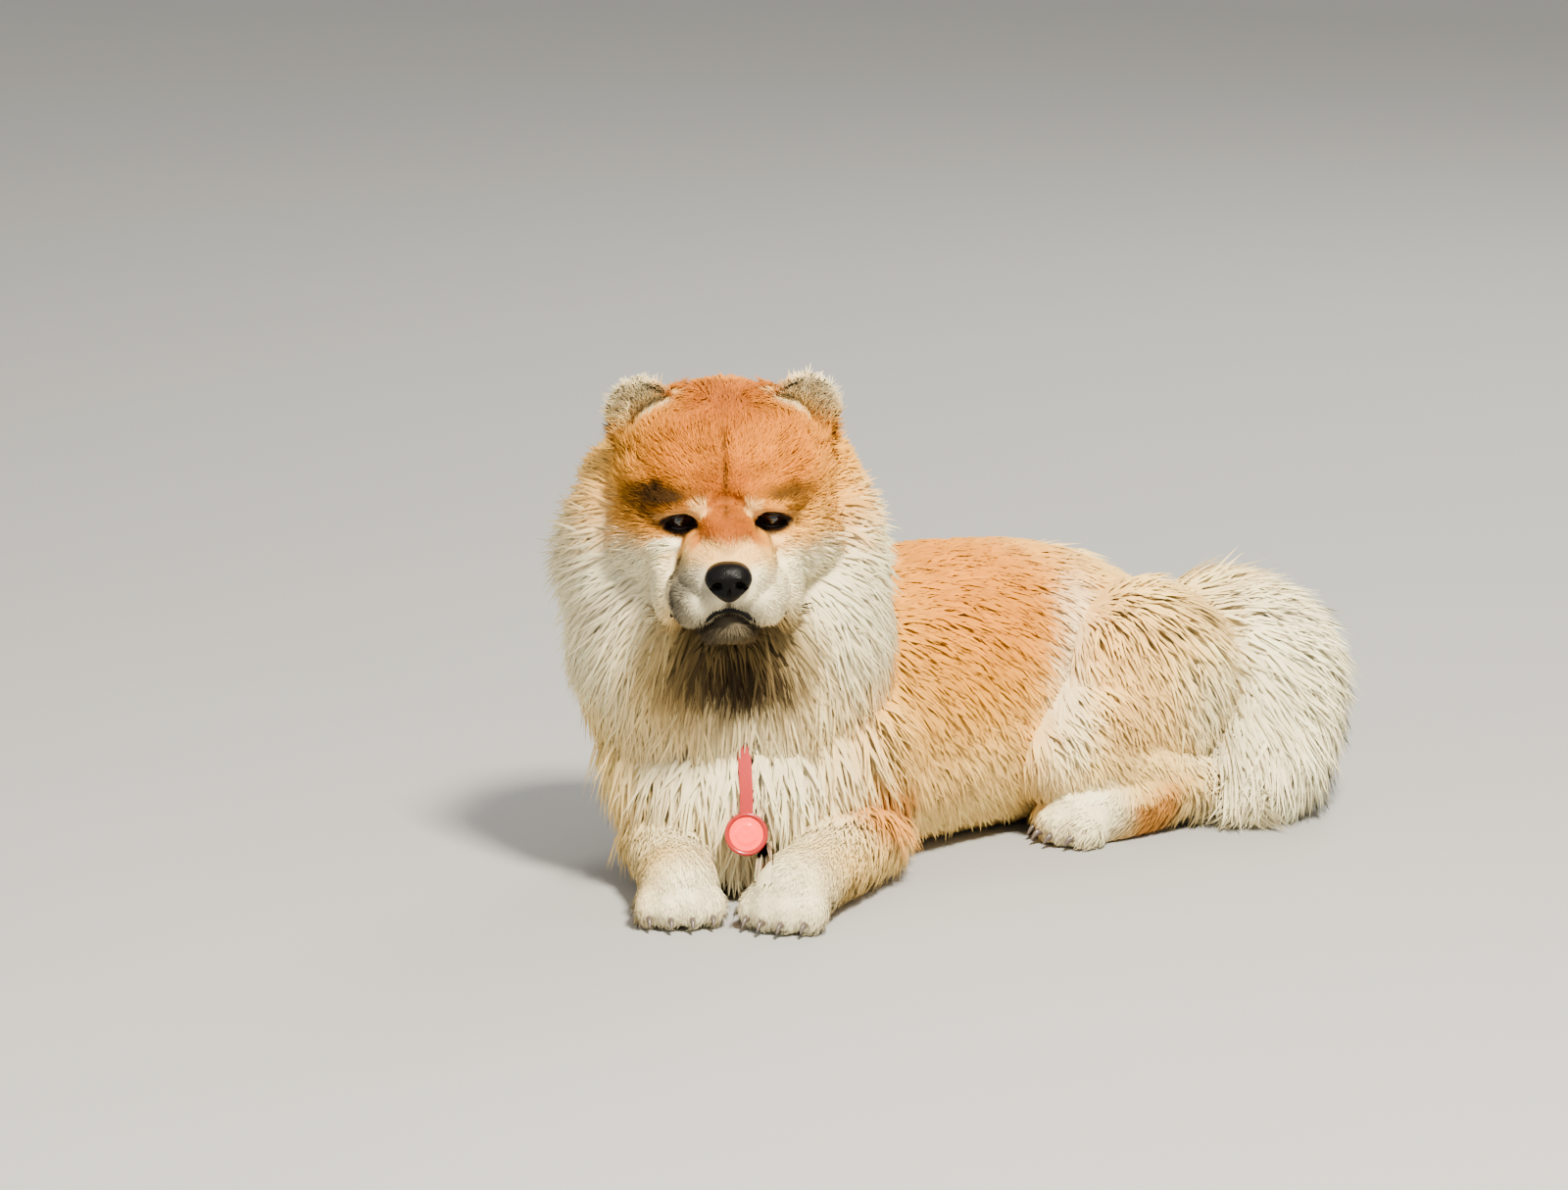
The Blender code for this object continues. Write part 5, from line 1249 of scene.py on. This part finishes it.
def nose_grid(rows=64, sides=84):
    """The nose pad: a squared oval, narrower below and flatter in front, with two comma-shaped nostrils."""
    grid = oval((0.0, 0.0, 0.0), (1.0, 1.0, 1.0), 2.5, rows, sides)
    p = grid[..., [0, 2, 1]].copy()
    p[..., 0] *= 1.0 - 0.52 * smooth(-p[..., 2], -0.2, 1.15)
    x, z = p[..., 0], p[..., 2]
    front = smooth(-p[..., 1], 0.2, 0.8)
    p[..., 1] += front * 0.10 * (x**2 + z**2)
    for side in (1, -1):
        u, w = x * side - 0.47, z + 0.05
        hole = np.exp(-((u + 0.25 * w) / 0.20) ** 2 - (w / 0.24) ** 2)
        slot = np.exp(-((u - 0.28) / 0.24) ** 2 - ((w + 0.16 + 0.2 * u) / 0.09) ** 2)
        p[..., 1] += front * (0.62 * np.maximum(hole, 0.85 * slot))
        wing = np.exp(-((u - 0.02) / 0.34) ** 2 - ((w - 0.34) / 0.20) ** 2)
        p[..., 1] -= front * 0.10 * wing
    p[..., 1] += front * 0.22 * np.exp(-(x / 0.07) ** 2) * smooth(-z, -0.25, 0.5)
    return in_head(NOSE + p * NOSE_SIZE * (1.0, 1.05, 1.0))


def lip_grid(tree):
    """The dark lips: a flat tube along the line of the mouth, laid on the skin."""
    line = in_head(spline(MOUTH_LINE, 90)) + SHIFT
    laid = np.array([tree.find_nearest(Vector(p))[0] for p in line]) - SHIFT
    taper = np.sin(np.linspace(0.12, np.pi - 0.12, len(laid))) ** 0.5
    rows = np.concatenate([laid, np.stack([0.0026 * taper, 0.0032 * taper], -1)], axis=1)
    return tube(rows, 90, 12, side=(0, -1, 0), squareness=2.0)


def claw_grids():
    """Claws: thin tapered tubes bent down from the tip of each toe."""
    grids = []
    for toes, heading in feet():
        for toe in toes:
            start = toe + heading * 0.016 + DOWN * 0.006
            tip = start + heading * 0.013 + DOWN * 0.0065
            middle = (start + tip) / 2 - DOWN * 0.0022
            rows = [(*start, 0.0032, 0.0036), (*middle, 0.0026, 0.0030), (*tip, 0.0007, 0.0008)]
            grids.append(tube(rows, 10, 10, squareness=2.0))
    return grids


def turned_profile(centre, facing, profile, sides=64):
    """A profile of (reach along the facing, radius) pairs, turned about it."""
    facing = unit(np.array(facing))
    up = unit(-DOWN - facing * facing[2])
    side = np.cross(up, facing)
    angle = np.linspace(0, 2 * np.pi, sides, endpoint=False)[None, :, None]
    profile = np.array(profile)
    reach, radius = profile[:, 0, None, None], profile[:, 1, None, None]
    return centre + facing * reach + (side * np.cos(angle) + up * np.sin(angle)) * radius


def tag_case():
    """The tag's case: a low drum with a rounded rim and a seat for its lens."""
    t = np.linspace(0, np.pi / 2, 7)
    back = [(-0.0055 + 0.0015 * (1 - math.cos(a)), 0.0180 + 0.0015 * math.sin(a)) for a in t]
    front = [(0.0055 - 0.0015 * (1 - math.sin(a)), 0.0180 + 0.0015 * math.cos(a)) for a in t]
    seat = [(0.0052, 0.0160), (0.0038, 0.0156), (0.0036, 0.0010)]
    return turned_profile(TAG, TAG_FACING, [(-0.0055, 0.0010)] + back + front + seat)


def tag_lens():
    """The lens: a shallow dome with two raised rings, so that its light breaks up."""
    r = np.linspace(0.0152, 0.0004, 26)
    dome = 0.0062 - 0.0018 * (r / 0.0152) ** 2 + 0.00035 * np.cos(r / 0.0152 * 4 * np.pi)
    rows = [(0.0040, 0.0006), (0.0040, 0.0152)] + list(zip(dome, r))
    return turned_profile(TAG, TAG_FACING, rows)


def tag_strap():
    """The strap: a flat band with rounded edges along its path up into the ruff."""
    rows = [(*p, 0.0014, 0.0060) for p in STRAP_PATH]
    return tube(rows, 40, 20, side=(0, -1, 0), squareness=4.0)


# What a user may change

class ChowSizes(bpy.types.PropertyGroup):
    """Sizes of the model's fine parts."""
    head_cell: bpy.props.FloatProperty(
        name="Head Cell", description="Edge of the cells of the head's skin", default=0.0022, unit="LENGTH")
    body_cell: bpy.props.FloatProperty(
        name="Body Cell", description="Edge of the cells of the body's skin", default=0.0055, unit="LENGTH")
    eye_radius: bpy.props.FloatProperty(
        name="Eye Radius", description="Radius of an eyeball", default=0.0125, unit="LENGTH")
    head_tufts: bpy.props.IntProperty(name="Head Tufts", description="Tufts on the head", default=36000)
    ear_tufts: bpy.props.IntProperty(name="Ear Tufts", description="Tufts on both ears", default=8500)
    ruff_tufts: bpy.props.IntProperty(name="Ruff Tufts", description="Tufts of the ruff", default=42000)
    trunk_tufts: bpy.props.IntProperty(name="Trunk Tufts", description="Tufts on the trunk", default=29000)
    tail_tufts: bpy.props.IntProperty(name="Tail Tufts", description="Tufts of the tail's plume", default=11000)
    foreleg_tufts: bpy.props.IntProperty(name="Foreleg Tufts", description="Tufts on both forelegs", default=10000)
    hindleg_tufts: bpy.props.IntProperty(name="Hind Leg Tufts", description="Tufts on both hind legs", default=13000)


def colour_property(name, description, default):
    return bpy.props.FloatVectorProperty(
        name=name, description=description, default=default, subtype="COLOR", size=3, min=0.0, max=1.0)


class ChowColours(bpy.types.PropertyGroup):
    """Colours of the coat, the face and the tag."""
    cream: colour_property("Cream", "Ruff, flanks and legs", (0.90, 0.60, 0.20))
    white: colour_property("White", "Muzzle, chest, paws and tail", (0.95, 0.83, 0.52))
    sand: colour_property("Sand", "Spots over the eyes and thighs", (0.88, 0.50, 0.15))
    peach: colour_property("Peach", "Sides and temples", (0.80, 0.34, 0.022))
    orange: colour_property("Orange", "Forehead and back", (0.58, 0.175, 0.004))
    amber: colour_property("Amber", "Crown and bridge", (0.30, 0.068, 0.005))
    # This colour is darker fur and painted shade: in the ears' hollows, at the outer brows and in the lower thigh's
    # streak
    brown_and_shade: colour_property("Brown", "Outer brow, ears' roots and streaks", (0.090, 0.028, 0.003))
    # This colour is dark brow fur and painted shade: over the brows and in the furrow
    olive_and_shade: colour_property("Olive", "Brows and furrow", (0.035, 0.015, 0.0025))
    # This colour is the chin's darker fur and painted shade: under the chin, below the nose and down the muzzle's
    # right side
    umber: colour_property("Umber", "Chin and shades of the muzzle", (0.040, 0.026, 0.013))
    # This colour is the dark skin of the lids and lips, and painted shade in the eye openings, on the muzzle's folds,
    # under the flews and beneath the chin
    dark: colour_property("Dark", "Eye openings, mouth and throat", (0.010, 0.005, 0.003))
    # This colour is painted shade: on the muzzle's right side and below the nose
    muzzle_shade: colour_property("Grey", "Right side of the muzzle", (0.17, 0.15, 0.12))
    skin_black: colour_property("Black", "Nose, lips and lids", (0.0035, 0.0032, 0.0032))
    iris: colour_property("Iris", "Iris of the eyes", (0.030, 0.010, 0.004))
    pupil: colour_property("Pupil", "Pupil of the eyes", (0.002, 0.002, 0.002))
    eye_white: colour_property("Eye White", "White of the eyes", (0.05, 0.03, 0.02))
    claw: colour_property("Claw", "Horn of the claws", (0.10, 0.075, 0.06))
    tag: colour_property("Tag", "Case and strap of the tag lamp", (0.40, 0.012, 0.012))
    lens: colour_property("Lens", "Lens of the tag lamp", (1.0, 0.03, 0.02))
    floor: colour_property("Floor", "Studio floor", (0.36, 0.36, 0.35))


def colours_of(scene):
    """The scene's colours by name."""
    group = scene.chow_colours
    return {name: tuple(getattr(group, name)) for name in group.__annotations__}


class CHOW_OT_skin(bpy.types.Operator):
    """Build the one skin that stands for every node of flesh"""
    bl_idname = "chow.skin"
    bl_label = "Skin"

    def execute(self, context):
        colours = colours_of(context.scene)
        skin = build_skin(context.scene.chow_sizes, colours)
        surface = material("skin", 0.85, specular=0.2)
        add_noise(surface, 260.0, 0.12, bump=0.5, distance=0.0012)
        finished(skin, surface)
        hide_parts("head", "ear_left", "ear_right", "neck", "torso", "tail", "foreleg_left",
                    "foreleg_right", "hindleg_left", "hindleg_right")
        return {"FINISHED"}


class CHOW_OT_coat(bpy.types.Operator):
    """Grow the coat of tufts over the skin"""
    bl_idname = "chow.coat"
    bl_label = "Coat"

    def execute(self, context):
        surface = material("coat", 0.80, specular=0.08)
        build_coat(bpy.data.objects["skin"], context.scene.chow_sizes, colours_of(context.scene), surface)
        return {"FINISHED"}


class CHOW_OT_eyes(bpy.types.Operator):
    """Build the eyes and the rims of their lids"""
    bl_idname = "chow.eyes"
    bl_label = "Eyes"

    def execute(self, context):
        colours = colours_of(context.scene)
        radius = context.scene.chow_sizes.eye_radius
        wet = material("wet_eye", 0.06, coat=1.0)
        for side, name in ((1, "left"), (-1, "right")):
            ball = piece("eyeball_" + name, [eyeball(side, radius)], wet, iris_colours(side, radius, colours))
            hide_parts("eye_" + name)
        rims = object_of("lid_rims", *lid_rims(radius))
        leather = material("lid_leather", 0.38, colours["skin_black"])
        add_noise(leather, 900.0, 0.0, bump=0.3, distance=0.0003)
        finished(rims, leather)
        return {"FINISHED"}


class CHOW_OT_nose(bpy.types.Operator):
    """Build the nose and the lips"""
    bl_idname = "chow.nose"
    bl_label = "Nose and Lips"

    def execute(self, context):
        colours = colours_of(context.scene)
        pad = material("nose_leather", 0.36, colours["skin_black"], specular=0.07)
        add_noise(pad, 700.0, 0.0, bump=0.35, distance=0.0005, kind="cells")
        nose = piece("nose_pad", [nose_grid()], pad)
        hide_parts("nose")
        lip = material("lip_leather", 0.60, colours["skin_black"], specular=0.12)
        add_noise(lip, 500.0, 0.0, bump=0.4, distance=0.0005)
        graph = context.evaluated_depsgraph_get()
        tree = BVHTree.FromObject(bpy.data.objects["skin"], graph)
        piece("lips", [lip_grid(tree)], lip)
        return {"FINISHED"}


class CHOW_OT_claws(bpy.types.Operator):
    """Build the claws"""
    bl_idname = "chow.claws"
    bl_label = "Claws"

    def execute(self, context):
        colours = colours_of(context.scene)
        horn = material("claw_horn", 0.35, colours["claw"], coat=0.2)
        add_noise(horn, 300.0, 0.25, base=colours["claw"], stretch=(1, 1, 0.3), bump=0.15, distance=0.0003)
        piece("claws", claw_grids(), horn)
        return {"FINISHED"}


class CHOW_OT_tag(bpy.types.Operator):
    """Build the tag lamp and its strap"""
    bl_idname = "chow.tag"
    bl_label = "Tag Lamp"

    def execute(self, context):
        colours = colours_of(context.scene)
        shell = material("tag_shell", 0.28, colours["tag"], coat=0.4)
        add_noise(shell, 400.0, 0.08, base=colours["tag"], bump=0.05, distance=0.0002)
        case = piece("tag_shell", [tag_case()], shell)
        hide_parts("tag_case")
        glow = material("tag_glow", 0.15, colours["lens"], coat=0.6)
        add_noise(glow, 240.0, 0.15, base=colours["lens"], bump=0.1, distance=0.0003)
        shader = glow.node_tree.nodes["Principled BSDF"]
        shader.inputs["Emission Color"].default_value = (*colours["lens"], 1.0)
        shader.inputs["Emission Strength"].default_value = 2.2
        lens = piece("tag_dome", [tag_lens()], glow)
        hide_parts("tag_lens")
        webbing = material("tag_webbing", 0.75, colours["tag"], sheen=0.2)
        add_noise(webbing, 900.0, 0.25, base=colours["tag"], stretch=(1, 1, 0.35), bump=0.5, distance=0.0004)
        strap = piece("tag_band", [tag_strap()], webbing)
        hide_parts("tag_strap")
        return {"FINISHED"}


CAMERA_TILT = math.radians(12.0)
PIXEL = 0.00088                  # metres to a pixel at the dog
CAMERA_DISTANCE = 8.0
PHOTO_WIDTH, PHOTO_HEIGHT = 1600, 1214
FEET_PIXEL = (757.0, 896.0)      # where the dog's own origin lies in the photograph
SENSOR = 36.0
FLOOR_HALF, FLOOR_LINES = 14.0, 15


def add_camera(scene):
    """A camera that looks down by the tilt, aimed so that the dog's own origin falls on its pixel."""
    look = np.array((0.0, math.cos(CAMERA_TILT), -math.sin(CAMERA_TILT)))
    up = np.array((0.0, math.sin(CAMERA_TILT), math.cos(CAMERA_TILT)))
    right = np.array((1.0, 0.0, 0.0))
    middle = right * (PHOTO_WIDTH / 2 - FEET_PIXEL[0]) * PIXEL + up * (FEET_PIXEL[1] - PHOTO_HEIGHT / 2) * PIXEL
    middle = middle + look * (HEAD_CENTRE @ look)
    data = bpy.data.cameras.new("camera")
    data.sensor_width = SENSOR
    data.lens = SENSOR * CAMERA_DISTANCE / (PHOTO_WIDTH * PIXEL)
    camera = bpy.data.objects.new("camera", data)
    scene.collection.objects.link(camera)
    camera.location = middle - look * CAMERA_DISTANCE + SHIFT
    camera.rotation_euler = (math.pi / 2 - CAMERA_TILT, 0.0, 0.0)
    scene.camera = camera


def add_light(scene, name, way, power, size, colour):
    """A square area light, the given way from the dog's head and aimed at it."""
    data = bpy.data.lights.new(name, "AREA")
    data.energy = power
    data.size = size
    data.color = colour
    light = bpy.data.objects.new(name, data)
    scene.collection.objects.link(light)
    target = Vector((0.0, 0.0, 0.25))
    light.location = target + Vector(way)
    light.rotation_euler = (target - light.location).to_track_quat("-Z", "Y").to_euler()


class CHOW_OT_stage(bpy.types.Operator):
    """Set the floor, the lights and the camera"""
    bl_idname = "chow.stage"
    bl_label = "Stage"

    def execute(self, context):
        scene = context.scene
        colours = colours_of(scene)
        lines = np.linspace(-FLOOR_HALF, FLOOR_HALF, FLOOR_LINES)
        u, v = np.meshgrid(lines, lines, indexing="ij")
        grid = np.stack([u, v, 0 * u], -1).reshape(-1, 3) - SHIFT
        i, j = np.meshgrid(np.arange(FLOOR_LINES - 1), np.arange(FLOOR_LINES - 1), indexing="ij")
        a = i * FLOOR_LINES + j
        b = a + FLOOR_LINES
        triangles = np.stack([a, b, b + 1, a, b + 1, a + 1], -1).reshape(-1, 3)
        floor = object_of("floor", grid, triangles)
        paper = material("floor_paper", 0.9, colours["floor"], specular=0.1)
        add_noise(paper, 3.0, 0.02, base=colours["floor"])
        floor.data.materials.append(paper)
        world = bpy.data.worlds.new("studio")
        world.use_nodes = True
        world.node_tree.nodes["Background"].inputs["Color"].default_value = (1.0, 0.98, 0.94, 1.0)
        world.node_tree.nodes["Background"].inputs["Strength"].default_value = 0.64
        scene.world = world
        add_light(scene, "key", (0.7, -2.4, 3.1), 620.0, 0.6, (1.0, 0.92, 0.78))
        add_light(scene, "fill", (-2.8, -2.2, 1.4), 30.0, 2.4, (0.90, 0.95, 1.0))
        add_light(scene, "rim", (1.2, 2.8, 2.4), 110.0, 1.6, (1.0, 0.96, 0.90))
        add_camera(scene)
        return {"FINISHED"}


class CHOW_PT_panel(bpy.types.Panel):
    """The model's sizes, colours and steps"""
    bl_label = "Chow Chow"
    bl_idname = "CHOW_PT_panel"
    bl_space_type = "VIEW_3D"
    bl_region_type = "UI"
    bl_category = "Chow Chow"

    def draw(self, context):
        layout = self.layout
        for group in (context.scene.chow_sizes, context.scene.chow_colours):
            box = layout.box()
            for name in group.__annotations__:
                box.prop(group, name)
        for operator in OPERATORS:
            layout.operator(operator.bl_idname)


OPERATORS = (CHOW_OT_skin, CHOW_OT_coat, CHOW_OT_eyes, CHOW_OT_nose, CHOW_OT_claws, CHOW_OT_tag, CHOW_OT_stage)
CLASSES = (ChowSizes, ChowColours, *OPERATORS, CHOW_PT_panel)


def register():
    for made in CLASSES:
        bpy.utils.register_class(made)
    bpy.types.Scene.chow_sizes = bpy.props.PointerProperty(type=ChowSizes)
    bpy.types.Scene.chow_colours = bpy.props.PointerProperty(type=ChowColours)


def unregister():
    del bpy.types.Scene.chow_colours
    del bpy.types.Scene.chow_sizes
    for made in reversed(CLASSES):
        bpy.utils.unregister_class(made)


def main():
    """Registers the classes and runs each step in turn."""
    register()
    for step in ("skin", "coat", "eyes", "nose", "claws", "tag", "stage"):
        getattr(bpy.ops.chow, step)()


if __name__ == "__main__":
    main()
